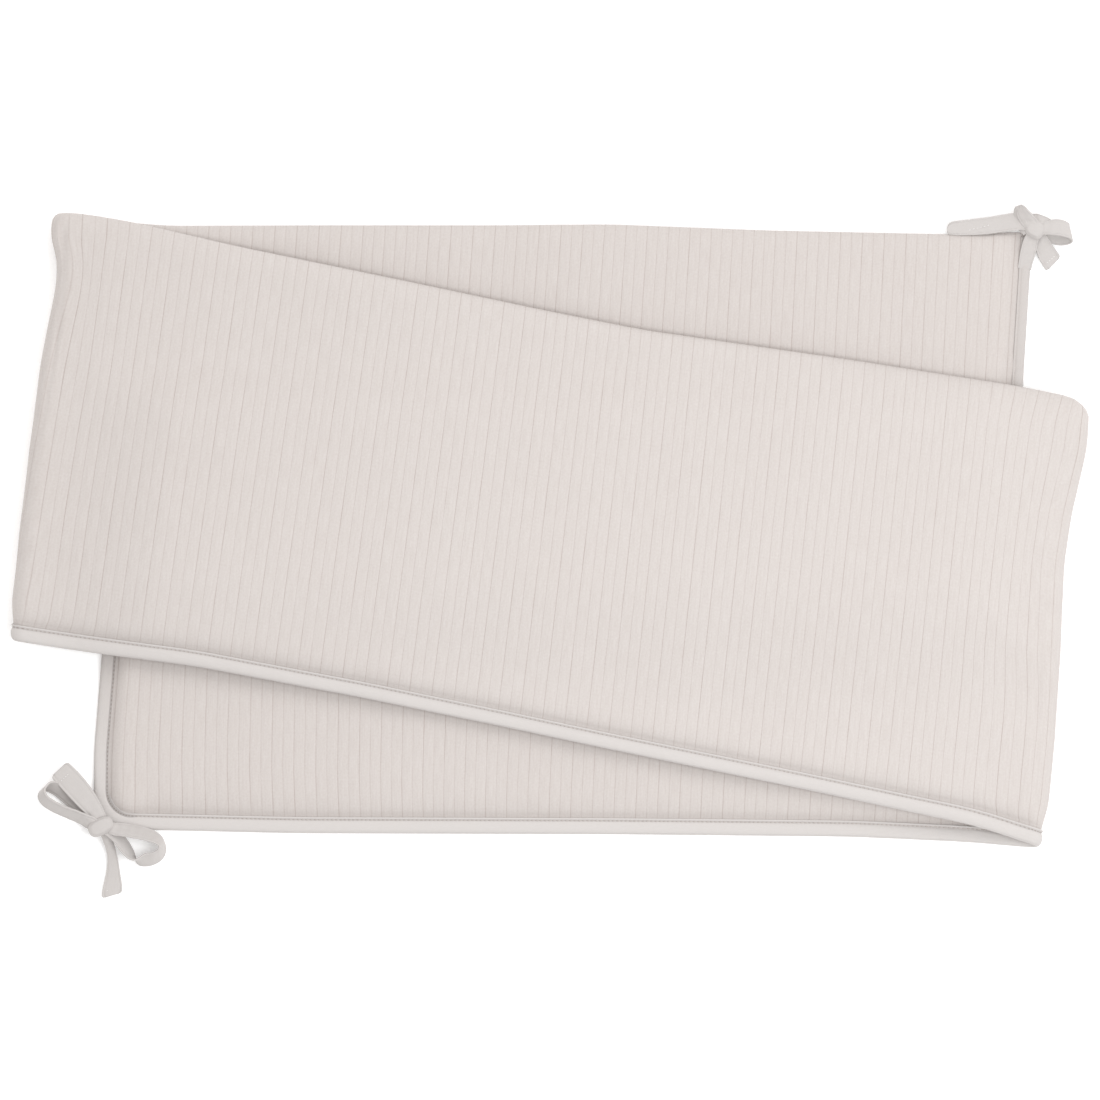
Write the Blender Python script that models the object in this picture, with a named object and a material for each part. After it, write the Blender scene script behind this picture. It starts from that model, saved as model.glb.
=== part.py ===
"""Crib bumper: a padded cot strip with bound edges, folded in three, with two tied bows.

The strip is cut about 0.30 m wide and 2.09 m long. It lies folded like a letter: the middle
layer runs leftwards, turns over at the left fold into the top layer, and that one turns under
at the right fold into the bottom layer. One long edge is folded cloth (the plain edge). The
other long edge and both ends carry a binding.

Places on the flat strip are given as (along, across, off): metres along it from the middle
layer's end, metres across it from the plain edge, and metres off its mid surface.
Places on the table are given as (u, v): u runs square to the two folds and v runs along them,
from the plain edges towards the bound ones.
"""

import math

import bmesh
import bpy
import numpy as np

# Driving dimensions, in metres.
FOLD_LEAN = math.radians(5.9)  # the folds stand this far off the Y axis
CUT_WIDTH = 0.2975  # across the flat strip, along the folds' direction
THICKNESS = 0.012  # one layer of the filled strip
LAYER_RISE = 0.0132  # from one layer to the next, with the little air between them
EDGE_THICKNESS = 0.0022  # where the strip is pressed flat inside the binding
PLAIN_ROLL = 0.016  # over this width the plain edge rounds off
PUFF_LENGTH = 0.009  # how soon the filling swells up beside the seam
LEVELLING = 0.016  # over this width beside the seam the thin edge comes level with the rest
FOLD_NEAR = 0.030  # the strip thins towards a fold over this length
FOLD_THINNING = 0.08  # the share of its thickness that it loses there
CORNER_RADIUS = 0.027  # the strip's two bound corners
MIDDLE_END = 0.3147  # u of the middle layer's free end
MIDDLE_END_LEAN = 0.04  # that end stands slightly askew to the folds, about the v below
MIDDLE_END_PIVOT = -0.21
BOTTOM_END = -0.304  # u of the bottom layer's free end

BINDING_WIDTH = 0.0105
BINDING_CLOTH = 0.0009
BINDING_HALF = 0.0025  # half the height of the binding's closed U
BINDING_ROUND = 0.55  # the share of that height left on the U's rounded back
BINDING_CLEAR = 0.0005  # between the strip's edge and the inside of the U
SEAM = 0.0120  # in from the bound edge, where the filling starts

RIB_PITCH = 0.0154  # the strong ribs of the knit, across the strip
RIB_DEPTH = 0.0006
RIB_FADE = 0.010  # beside the edges the ribs sink in over this width

FOLD_REACH = 1.03  # how far a fold's mid surface reaches out, for its half height
LEFT_TURN = 0.020  # length of strip that the left fold takes up
RIGHT_TURN = 0.034
LEAST_RISE = 0.001  # half the height of a fold with nothing inside it
ROUNDING = 0.012  # runs between the rows of a table meet in curves of this reach

TAPE_CLOTH = 0.0012  # thickness of a tie

KNIT_COLOUR = (0.73, 0.66, 0.61)
TAPE_COLOUR = (0.72, 0.66, 0.63)
KNIT_ROUGHNESS = 0.95
TAPE_ROUGHNESS = 0.90

# Where the folds' outer sides lie: a row for each place down the fold.
LEFT_FOLD = (
    # v, u
    (-0.199, -0.3700),
    (-0.187, -0.3705),
    (-0.134, -0.3668),
    (-0.092, -0.3685),
    (0.000, -0.3705),
    (0.077, -0.3715),
    (0.102, -0.3690),
)
RIGHT_FOLD = (
    # v, u
    (-0.136, 0.3645),
    (-0.110, 0.3665),
    (-0.062, 0.3605),
    (-0.025, 0.3590),
    (0.033, 0.3630),
    (0.096, 0.3655),
    (0.140, 0.3658),
    (0.172, 0.3630),
)

# How each layer's two long edges lie: a row for each section, in the strip's own order.
MIDDLE_LAYER = (
    # u, plain edge v, bound edge v
    (0.315, -0.2530, 0.0390),
    (0.240, -0.2475, 0.0450),
    (0.130, -0.2385, 0.0545),
    (0.020, -0.2315, 0.0640),
    (-0.065, -0.2220, 0.0720),
    (-0.180, -0.2110, 0.0830),
    (-0.290, -0.1995, 0.0940),
    (-0.358, -0.1975, 0.1000),
)
TOP_LAYER = (
    # u, plain edge v, bound edge v
    (-0.358, -0.2010, 0.1015),
    (-0.316, -0.1985, 0.1035),
    (-0.240, -0.1890, 0.1055),
    (-0.120, -0.1770, 0.1155),
    (-0.020, -0.1665, 0.1255),
    (0.050, -0.1600, 0.1330),
    (0.200, -0.1540, 0.1480),
    (0.310, -0.1480, 0.1600),
    (0.352, -0.1435, 0.1700),
)
BOTTOM_LAYER = (
    # u, plain edge v, bound edge v
    (0.352, -0.1290, 0.1720),
    (0.313, -0.1260, 0.1725),
    (0.229, -0.1210, 0.1775),
    (0.062, -0.1050, 0.1930),
    (-0.160, -0.0850, 0.2150),
    (-0.304, -0.0720, 0.2265),
)

LEFT_CENTRE = -0.358  # nominal u of each fold's middle, which sets the strip's length
RIGHT_CENTRE = 0.348

MIDDLE_STOP = MIDDLE_END - LEFT_CENTRE
TOP_START = MIDDLE_STOP + LEFT_TURN
TOP_STOP = TOP_START + RIGHT_CENTRE - LEFT_CENTRE
BOTTOM_START = TOP_STOP + RIGHT_TURN
CUT_LENGTH = BOTTOM_START + RIGHT_CENTRE - BOTTOM_END

# How far a layer's edge is felt by the layer above it.
PLAIN_FELT = (0.030, 0.010)  # outside and inside a plain edge
BOUND_FELT = (0.024, 0.028)  # outside and inside a bound edge
END_FELT = 0.040  # to either side of a bound end
FOLD_HOLD = 0.100  # a fold keeps the layer above it up over this length
END_BRIDGE = 0.45  # share of the middle layer's rise kept between its end and the right fold

# The lines across the strip at which its section bends.
ROLL_LINES = (0.003, 0.014)  # on the plain edge's roll
LEAST_BEFORE = 0.018  # the lines at a lower layer's plain edge stay this far in
LEAST_AFTER = 0.030
RIM_BEFORE = 0.050  # the lines at a lower layer's bound edge stay this far off the rim
RIM_AFTER = 0.036
RIM_SWELL = 0.028  # in from the rim, where the filling has its height
# On the bottom layer, with nothing below it, those lines drift to places that suit its width.
DRIFT_LENGTH = 0.30
LOW_DRIFT = 0.09
HIGH_LINE = 0.17
HIGH_DRIFT = 0.11

FOLD_STEPS = 8
CORNER_STEPS = 6  # round the binding's quarter turn
CORNER_SHARES = (0.03, 0.20, 0.44, 0.57, 0.70)  # stations inside a corner, of its radius
END_CLEAR = 0.004  # the binding's ends have no station this close to the corner's own

# The two bows. Each has its knot's place and half sizes, and a row for each bend of its tapes:
# x, y and z from the floor under the knot, the tape's width there, and the bearing and lean of
# the line across it, in degrees. A lean of 0 is a tape lying flat, 90 one standing on edge.
LEFT_BOW = {
    "place": (-0.3143, -0.1934),
    "knot": ((-0.0006, -0.0006, 0.0098), (0.0094, 0.0062, 0.0042), 24),
    "tapes": (
        (  # the upper free end
            (0.0010, 0.0020, 0.0095, 0.009, 41, 0),
            (-0.0040, 0.0098, 0.0098, 0.012, 41, 0),
            (-0.0110, 0.0188, 0.0096, 0.015, 41, 0),
            (-0.0192, 0.0286, 0.0082, 0.016, 42, 0),
            (-0.0276, 0.0368, 0.0062, 0.016, 48, 0),
        ),
        (  # the loop to the left
            (-0.0020, -0.0010, 0.0098, 0.008, 58, 10),
            (-0.0080, 0.0022, 0.0096, 0.011, 58, 32),
            (-0.0159, 0.0061, 0.0078, 0.013, 58, 52),
            (-0.0296, 0.0117, 0.0068, 0.014, 58, 58),
            (-0.0392, 0.0174, 0.0067, 0.014, 52, 58),
            (-0.0420, 0.0234, 0.0064, 0.013, 46, 55),
            (-0.0382, 0.0278, 0.0052, 0.012, 46, 42),
            (-0.0310, 0.0258, 0.0044, 0.012, 50, 34),
            (-0.0225, 0.0192, 0.0046, 0.012, 52, 30),
            (-0.0127, 0.0105, 0.0068, 0.010, 52, 20),
            (-0.0030, 0.0015, 0.0092, 0.008, 52, 10),
        ),
        (  # the loop to the right
            (0.0020, -0.0010, 0.0098, 0.008, -80, 0),
            (0.0085, -0.0018, 0.0104, 0.010, -80, 20),
            (0.0190, -0.0030, 0.0108, 0.012, -80, 40),
            (0.0307, -0.0062, 0.0100, 0.013, -78, 50),
            (0.0390, -0.0116, 0.0082, 0.014, -74, 60),
            (0.0412, -0.0172, 0.0070, 0.014, -70, 62),
            (0.0371, -0.0222, 0.0068, 0.014, -66, 60),
            (0.0299, -0.0236, 0.0067, 0.014, -62, 58),
            (0.0212, -0.0186, 0.0066, 0.013, -60, 55),
            (0.0130, -0.0112, 0.0070, 0.012, -60, 45),
            (0.0050, -0.0040, 0.0088, 0.009, -60, 20),
            (0.0000, 0.0000, 0.0096, 0.008, -60, 10),
        ),
        (  # the lower free end
            (0.0005, -0.0010, 0.0090, 0.007, 12, 0),
            (0.0026, -0.0060, 0.0074, 0.007, 10, 12),
            (0.0050, -0.0140, 0.0044, 0.008, 10, 14),
            (0.0070, -0.0252, 0.0026, 0.010, 6, 10),
            (0.0078, -0.0373, 0.0018, 0.014, 4, 4),
            (0.0070, -0.0478, 0.0014, 0.015, 8, 0),
        ),
    ),
}
RIGHT_BOW = {
    "place": (0.3396, 0.2241),
    "knot": ((0.0000, 0.0000, 0.0086), (0.0075, 0.0070, 0.0044), -30),
    "tapes": (
        (  # the free end along the plain edge
            (0.0000, 0.0010, 0.0080, 0.008, -88, 0),
            (-0.0107, 0.0048, 0.0066, 0.012, -86, 14),
            (-0.0236, 0.0052, 0.0056, 0.0125, -89, 20),
            (-0.0378, 0.0044, 0.0054, 0.0125, -94, 20),
            (-0.0521, 0.0036, 0.0052, 0.0115, -93, 18),
            (-0.0610, 0.0032, 0.0046, 0.0095, -90, 16),
        ),
        (  # the standing loop
            (-0.0005, 0.0005, 0.0090, 0.008, 0, 20),
            (-0.0050, 0.0040, 0.0115, 0.010, -4, 40),
            (-0.0100, 0.0098, 0.0136, 0.011, -8, 52),
            (-0.0114, 0.0145, 0.0134, 0.011, -8, 55),
            (-0.0092, 0.0168, 0.0118, 0.011, -8, 52),
            (-0.0058, 0.0128, 0.0104, 0.010, -6, 42),
            (-0.0030, 0.0070, 0.0096, 0.009, -4, 28),
            (0.0000, 0.0010, 0.0090, 0.008, 0, 15),
        ),
        (  # the loop to the right
            (0.0000, 0.0010, 0.0100, 0.008, -85, 0),
            (0.0070, 0.0020, 0.0112, 0.010, -82, 4),
            (0.0150, 0.0016, 0.0124, 0.011, -80, 6),
            (0.0212, -0.0002, 0.0116, 0.011, -78, 6),
            (0.0240, -0.0016, 0.0080, 0.011, -78, 6),
            (0.0218, -0.0028, 0.0042, 0.011, -78, 4),
            (0.0150, -0.0030, 0.0032, 0.011, -80, 2),
            (0.0080, -0.0020, 0.0044, 0.010, -82, 0),
            (0.0010, 0.0000, 0.0072, 0.008, -85, 0),
        ),
        (  # the free end past the corner
            (0.0000, 0.0000, 0.0080, 0.009, 26, 0),
            (0.0046, -0.0066, 0.0066, 0.011, 26, 6),
            (0.0090, -0.0144, 0.0038, 0.0125, 26, 6),
            (0.0135, -0.0235, 0.0019, 0.013, 26, 0),
        ),
        (  # the sewn end, on the binding
            (0.0000, 0.0000, 0.0084, 0.008, -4, 0),
            (-0.0020, -0.0055, 0.0072, 0.009, -10, 0),
            (-0.0038, -0.0100, 0.00605, 0.0095, -12, 0),
            (-0.0055, -0.0165, 0.00600, 0.0095, -12, 0),
        ),
    ),
}
BOW_STEPS = 3  # stretches of tape between two rows


def clear_scene():
    for thing in list(bpy.data.objects):
        bpy.data.objects.remove(thing, do_unlink=True)


def ramp(x):
    """A straight rise from 0 to 1."""
    return np.clip(x, 0.0, 1.0)


def ease(x):
    """A soft rise from 0 to 1."""
    x = ramp(x)
    return x * x * (3 - 2 * x)


def read_rows(x, xs, ys):
    """The rows joined by straight runs, whose corners are then rounded off."""
    steps = np.linspace(-ROUNDING, ROUNDING, 5)
    return sum(np.interp(x + step, xs, ys) for step in steps) / len(steps)


def fold_line(v, rows):
    places, sides = np.array(rows).T
    return read_rows(v, places, sides)


def layer_edges(u, rows):
    """v of a layer's plain and bound edges at u."""
    places, plain, bound = np.array(sorted(rows)).T
    return read_rows(u, places, plain), read_rows(u, places, bound)


def strip_edges(along):
    """v of the strip's plain and bound edges, anywhere along it."""
    middle = [(MIDDLE_END - u, plain, bound) for u, plain, bound in MIDDLE_LAYER]
    top = [(TOP_START + u - LEFT_CENTRE, plain, bound) for u, plain, bound in TOP_LAYER]
    bottom = [(BOTTOM_START + RIGHT_CENTRE - u, plain, bound) for u, plain, bound in BOTTOM_LAYER]
    return layer_edges(along, middle + top + bottom)


def inset(along, across):
    """Distance in from the nearest bound edge, round the strip's two bound corners too."""
    from_end = np.minimum(along, CUT_LENGTH - along)
    from_side = CUT_WIDTH - across
    corner = CORNER_RADIUS - np.hypot(CORNER_RADIUS - from_end, CORNER_RADIUS - from_side)
    in_corner = (from_end < CORNER_RADIUS) & (from_side < CORNER_RADIUS)
    return np.where(in_corner, corner, np.minimum(from_end, from_side))


def fold_nearness(along):
    """1 in the folds, falling to 0 away from them."""
    left = np.maximum(MIDDLE_STOP - along, along - TOP_START)
    right = np.maximum(TOP_STOP - along, along - BOTTOM_START)
    return 1 - ease(np.minimum(left, right) / FOLD_NEAR)


def half_height(along, across):
    """Half the strip's thickness before its plain edge is rounded: pressed flat inside the
    binding, swelling up beside the seam, a little thinner in the folds."""
    swell = 1 - np.exp(-np.maximum(inset(along, across) - SEAM, 0) / PUFF_LENGTH)
    full = THICKNESS * (1 - FOLD_THINNING * fold_nearness(along))
    return (EDGE_THICKNESS + (full - EDGE_THICKNESS) * swell) / 2


def edge_lift(along, across):
    """How far the thin edge rises, so that the binding's underside is level with the strip's."""
    inside = inset(along, across) - SEAM
    return (BINDING_HALF - EDGE_THICKNESS / 2) * (1 - ramp(inside / LEVELLING))


def plain_round(across):
    """The share of its thickness that the strip has beside its plain edge."""
    return np.sqrt(np.clip(1 - (1 - ramp(across / PLAIN_ROLL)) ** 2, 0, 1))


def middle_end(v):
    """u of the middle layer's free end."""
    return MIDDLE_END + MIDDLE_END_LEAN * (v - MIDDLE_END_PIVOT)


def bottom_rise(u, v):
    """The bottom layer as the layers above feel it, from 0 to 1."""
    plain, bound = layer_edges(u, BOTTOM_LAYER)
    outside, inside = PLAIN_FELT
    over_plain = ramp((v - plain + outside) / (outside + inside))
    over_end = ease((u - BOTTOM_END + END_FELT) / (2 * END_FELT))
    outside, inside = BOUND_FELT
    over_bound = ramp((bound - v + outside) / (outside + inside))
    held = ease((RIGHT_CENTRE - u) / FOLD_HOLD)
    return over_plain * np.minimum(over_end, 1 + (over_bound - 1) * held)


def middle_rise(u, v):
    """The middle layer as the top layer feels it, from 0 to 1."""
    plain, bound = layer_edges(u, MIDDLE_LAYER)
    outside, inside = PLAIN_FELT
    over_plain = ramp((v - plain + outside) / (outside + inside))
    over_end = ease((middle_end(v) - u + END_FELT) / (2 * END_FELT))
    over_end = END_BRIDGE + (1 - END_BRIDGE) * over_end
    outside, inside = BOUND_FELT
    over_bound = ramp((bound - v + outside) / (outside + inside))
    held = ease((u - LEFT_CENTRE) / FOLD_HOLD)
    return over_plain * np.minimum(over_end, 1 + (over_bound - 1) * held)


def on_table(along, across, off):
    """Places on the flat strip carried to where the folded strip has them."""
    plain, bound = strip_edges(along)
    v = plain + (bound - plain) * across / CUT_WIDTH
    half = half_height(along, across)
    low = half + edge_lift(along, across)

    on_left = along < (TOP_START + TOP_STOP) / 2
    held_up = bottom_rise(RIGHT_CENTRE, v) + middle_rise(RIGHT_CENTRE, v)
    rise = LAYER_RISE / 2 * np.where(on_left, middle_rise(LEFT_CENTRE, v), held_up)
    rise = np.maximum(rise, LEAST_RISE)
    reach = rise * FOLD_REACH
    left = fold_line(v, LEFT_FOLD) + low + reach
    right = fold_line(v, RIGHT_FOLD) - low - reach
    end = middle_end(v)
    u_middle = end + (left - end) * np.minimum(along / MIDDLE_STOP, 1)
    u_top = left + (right - left) * ramp((along - TOP_START) / (TOP_STOP - TOP_START))
    bottom_share = (along - BOTTOM_START) / (CUT_LENGTH - BOTTOM_START)
    u_bottom = right + (BOTTOM_END - right) * np.maximum(bottom_share, 0)
    z_middle = LAYER_RISE * bottom_rise(u_middle, v) + low
    z_top = LAYER_RISE * (bottom_rise(u_top, v) + middle_rise(u_top, v)) + low
    z_bottom = low

    past_left = ramp((along - MIDDLE_STOP) / LEFT_TURN)
    past_right = ramp((along - TOP_STOP) / RIGHT_TURN)
    angle = math.pi * (1 - past_left + past_right)  # 0 on the top layer, pi on the others
    lower = np.where(on_left, z_middle, z_bottom)
    side = np.where(on_left, -1.0, 1.0)
    u = np.where(angle < math.pi / 2, u_top, np.where(on_left, u_middle, u_bottom))
    turned = u + side * reach * np.sin(angle)
    z = (z_top + lower) / 2 + (z_top - lower) / 2 * np.cos(angle)

    normal_u = side * np.sin(angle) / reach
    normal_z = np.cos(angle) / rise
    size = np.hypot(normal_u, normal_z)
    turned = turned + off * normal_u / size
    z = z + off * normal_z / size
    x = turned * math.cos(FOLD_LEAN) - v * math.sin(FOLD_LEAN)
    y = -turned * math.sin(FOLD_LEAN) - v * math.cos(FOLD_LEAN)
    return np.stack([x, y, z], axis=-1)


def make_object(name, points, faces, colour, roughness):
    """A mesh object with one Principled material."""
    mesh = bpy.data.meshes.new(name)
    mesh.from_pydata(np.asarray(points).tolist(), [], faces)
    shaped = bmesh.new()
    shaped.from_mesh(mesh)
    bmesh.ops.triangulate(shaped, faces=shaped.faces)
    bmesh.ops.recalc_face_normals(shaped, faces=shaped.faces)
    shaped.to_mesh(mesh)
    shaped.free()
    thing = bpy.data.objects.new(name, mesh)
    bpy.context.scene.collection.objects.link(thing)
    material = bpy.data.materials.new(name + "_cloth")
    material.use_nodes = True
    shader = material.node_tree.nodes["Principled BSDF"]
    shader.inputs["Base Color"].default_value = (*colour, 1.0)
    shader.inputs["Roughness"].default_value = roughness
    shader.inputs["Metallic"].default_value = 0.0
    mesh.materials.append(material)
    return thing


def tube_faces(rings, sides):
    """Faces of closed rings in a row, with a cap at each end."""
    faces = []
    for ring in range(rings - 1):
        for side in range(sides):
            here = ring * sides + side
            there = ring * sides + (side + 1) % sides
            faces.append((here, there, there + sides, here + sides))
    faces.append(tuple(range(sides)))
    faces.append(tuple(range((rings - 1) * sides, rings * sides)))
    return faces


def strip_stations():
    """Distances along the strip, with a flag for those at the bottom of a rib's groove."""
    stations = []
    half_pitch = RIB_PITCH / 2
    count = int((CUT_LENGTH - 2 * CORNER_RADIUS) / half_pitch)
    for number in range(count + 1):
        at = CORNER_RADIUS + number * half_pitch
        in_left = MIDDLE_STOP - half_pitch / 2 < at < TOP_START + half_pitch / 2
        in_right = TOP_STOP - half_pitch / 2 < at < BOTTOM_START + half_pitch / 2
        if not in_left and not in_right:
            stations.append((at, number % 2 == 1))
    for start, turn in ((MIDDLE_STOP, LEFT_TURN), (TOP_STOP, RIGHT_TURN)):
        stations += [(start + turn * step / FOLD_STEPS, step % 2 == 1) for step in range(FOLD_STEPS + 1)]
    for share in CORNER_SHARES:
        at = CORNER_RADIUS * share
        stations += [(at, False), (CUT_LENGTH - at, False)]
    return sorted(stations)


def strip_lines(along):
    """Distances across the strip at which it bends: beside its edges, and where the layer
    below it starts and stops."""
    plain, bound = strip_edges(along)
    scale = CUT_WIDTH / (bound - plain)
    if along < TOP_START:
        u = max(MIDDLE_END - along, LEFT_CENTRE)
    elif along < BOTTOM_START:
        u = min(LEFT_CENTRE + along - TOP_START, RIGHT_CENTRE)
    else:
        u = RIGHT_CENTRE + BOTTOM_START - along
    low_edge = (layer_edges(u, BOTTOM_LAYER)[0] - plain) * scale
    high_edge = CUT_WIDTH
    if along > TOP_START:
        high_edge = (layer_edges(min(u, MIDDLE_END), MIDDLE_LAYER)[1] - plain) * scale
    if along > BOTTOM_START:
        drift = ease((along - BOTTOM_START) / DRIFT_LENGTH)
        low_edge += LOW_DRIFT * drift
        high_edge = HIGH_LINE + HIGH_DRIFT * drift
    lines = list(ROLL_LINES)
    lines.append(max(low_edge - PLAIN_FELT[0], LEAST_BEFORE))
    lines.append(max(low_edge + PLAIN_FELT[1], LEAST_AFTER))
    short = max(CORNER_RADIUS - min(along, CUT_LENGTH - along), 0)
    cut_back = CORNER_RADIUS - math.sqrt((CORNER_RADIUS - BINDING_CLEAR) ** 2 - short**2)
    rim = CUT_WIDTH - cut_back
    before = min(high_edge - BOUND_FELT[1], rim - RIM_BEFORE)
    after = min(high_edge + BOUND_FELT[0], rim - RIM_AFTER)
    lines.append((lines[-1] + before) / 2)
    lines += [before, after]
    lines += [rim - RIM_SWELL, rim - SEAM + BINDING_CLEAR, rim]
    return np.array(lines)


def make_strip():
    """The filled strip, folded: rings of points round its section, one at each station."""
    rings = []
    for along, in_groove in strip_stations():
        across = strip_lines(along)
        half = half_height(along, across) * plain_round(across)
        rib = RIB_DEPTH * ramp(across / RIB_FADE) * ramp((inset(along, across) - SEAM) / RIB_FADE)
        rib = rib * in_groove
        on_top = TOP_START - LEFT_TURN / 2 < along < BOTTOM_START - RIGHT_TURN / 2
        upper = half - rib * on_top
        under = half - rib * (along < MIDDLE_STOP or along > BOTTOM_START)
        round_across = np.concatenate([[0.0], across, across[::-1]])
        round_off = np.concatenate([[0.0], upper, -under[::-1]])
        rings.append(on_table(np.full(len(round_across), along), round_across, round_off))
    sides = len(rings[0])
    return make_object("bumper_pad", np.concatenate(rings), tube_faces(len(rings), sides),
                       KNIT_COLOUR, KNIT_ROUGHNESS)


def binding_route():
    """The strip's bound edge as (along, across, outward along, outward across) rows."""
    route = []
    bottom_of_corner = CUT_WIDTH - CORNER_RADIUS
    first_end, last_end = (
        [across for across in strip_lines(along) if across < bottom_of_corner - END_CLEAR]
        for along in (CORNER_RADIUS, CUT_LENGTH - CORNER_RADIUS))
    for across in first_end:
        route.append((0.0, across, -1.0, 0.0))
    for step in range(CORNER_STEPS + 1):
        angle = math.pi / 2 * step / CORNER_STEPS
        out_along, out_across = -math.cos(angle), math.sin(angle)
        route.append((CORNER_RADIUS * (1 + out_along), bottom_of_corner + CORNER_RADIUS * out_across,
                      out_along, out_across))
    inner = [at for at, in_groove in strip_stations()
             if not in_groove and CORNER_RADIUS < at < CUT_LENGTH - CORNER_RADIUS]
    folds = [at for at, _ in strip_stations()
             if MIDDLE_STOP <= at <= TOP_START or TOP_STOP <= at <= BOTTOM_START]
    for at in sorted(set(inner + folds)):
        route.append((at, CUT_WIDTH, 0.0, 1.0))
    for step in range(CORNER_STEPS + 1):
        angle = math.pi / 2 * step / CORNER_STEPS
        out_along, out_across = math.sin(angle), math.cos(angle)
        route.append((CUT_LENGTH + CORNER_RADIUS * (out_along - 1),
                      bottom_of_corner + CORNER_RADIUS * out_across, out_along, out_across))
    for across in reversed(last_end):
        route.append((CUT_LENGTH, across, 1.0, 0.0))
    return np.array(route)


def binding_section():
    """The binding's U as (out, off) rows, out of the strip's edge and off its mid surface."""
    inner = EDGE_THICKNESS / 2 + BINDING_CLEAR
    return np.array([
        (-BINDING_WIDTH, BINDING_HALF),
        (-BINDING_CLOTH, BINDING_HALF),
        (BINDING_CLOTH, BINDING_HALF * BINDING_ROUND),
        (BINDING_CLOTH, -BINDING_HALF * BINDING_ROUND),
        (-BINDING_CLOTH, -BINDING_HALF),
        (-BINDING_WIDTH, -BINDING_HALF),
        (-BINDING_WIDTH, -inner),
        (0.0, -inner),
        (0.0, inner),
        (-BINDING_WIDTH, inner),
    ])


def make_binding():
    """One tape round the bound edge, from one plain corner to the other."""
    section = binding_section()
    rings = []
    for along, across, out_along, out_across in binding_route():
        edge_along = along + section[:, 0] * out_along
        edge_across = across + section[:, 0] * out_across
        rings.append(on_table(edge_along, edge_across, section[:, 1]))
    return make_object("binding", np.concatenate(rings), tube_faces(len(rings), len(section)),
                       TAPE_COLOUR, TAPE_ROUGHNESS)


def smooth_rows(rows, steps):
    """The rows with more between them, on one smooth curve through them all."""
    rows = np.array(rows, dtype=float)
    before = np.vstack([2 * rows[0] - rows[1], rows[:-2], rows[-2]])[:len(rows) - 1]
    after = np.vstack([rows[2:], 2 * rows[-1] - rows[-2]])
    here, there = rows[:-1], rows[1:]
    made = []
    for step in range(steps):
        t = step / steps
        made.append(0.5 * (2 * here + (there - before) * t
                           + (2 * before - 5 * here + 4 * there - after) * t * t
                           + (3 * here - before - 3 * there + after) * t**3))
    curve = np.stack(made, axis=1).reshape(-1, rows.shape[1])
    return np.vstack([curve, rows[-1]])


def make_tape(name, rows, place):
    """A tie's tape: a flat section carried along its rows."""
    rows = smooth_rows(rows, BOW_STEPS)
    middle = rows[:, :3] + np.array([*place, 0.0])
    bearing, lean = np.radians(rows[:, 4]), np.radians(rows[:, 5])
    across = np.stack([np.cos(bearing) * np.cos(lean), np.sin(bearing) * np.cos(lean),
                       np.sin(lean)], axis=1)
    forward = np.gradient(middle, axis=0)
    face = np.cross(forward, across)
    face *= TAPE_CLOTH / 2 / np.linalg.norm(face, axis=1)[:, None]
    across *= rows[:, 3:4] / 2
    rings = np.stack([middle - across - face, middle + across - face,
                      middle + across + face, middle - across + face], axis=1)
    return make_object(name, rings.reshape(-1, 3), tube_faces(len(rings), 4),
                       TAPE_COLOUR, TAPE_ROUGHNESS)


def make_knot(name, bow):
    """The knot: a rounded lump where the tapes meet."""
    (x, y, z), sizes, turn = bow["knot"]
    ball = bmesh.new()
    bmesh.ops.create_uvsphere(ball, u_segments=12, v_segments=8, radius=1.0)
    points = np.array([vertex.co for vertex in ball.verts]) * sizes
    faces = [tuple(vertex.index for vertex in face.verts) for face in ball.faces]
    ball.free()
    turn = math.radians(turn)
    spin = np.array([[math.cos(turn), -math.sin(turn), 0], [math.sin(turn), math.cos(turn), 0], [0, 0, 1]])
    points = points @ spin.T + np.array([bow["place"][0] + x, bow["place"][1] + y, z])
    return make_object(name, points, faces, TAPE_COLOUR, TAPE_ROUGHNESS)


def make_bow(name, bow):
    """A tied bow as one solid: the knot joined with its tapes."""
    knot = make_knot(name, bow)
    for number, rows in enumerate(bow["tapes"]):
        tape = make_tape(f"{name}_tape_{number}", rows, bow["place"])
        tape.hide_render = True
        tape.display_type = "WIRE"
        join = knot.modifiers.new(tape.name, "BOOLEAN")
        join.operation = "UNION"
        join.solver = "EXACT"
        join.use_self = True  # a loop's two ends cross each other inside the knot
        join.object = tape
    return knot


def main():
    clear_scene()
    make_strip()
    make_binding()
    make_bow("tie_bow_left", LEFT_BOW)
    make_bow("tie_bow_right", RIGHT_BOW)


main()
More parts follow.
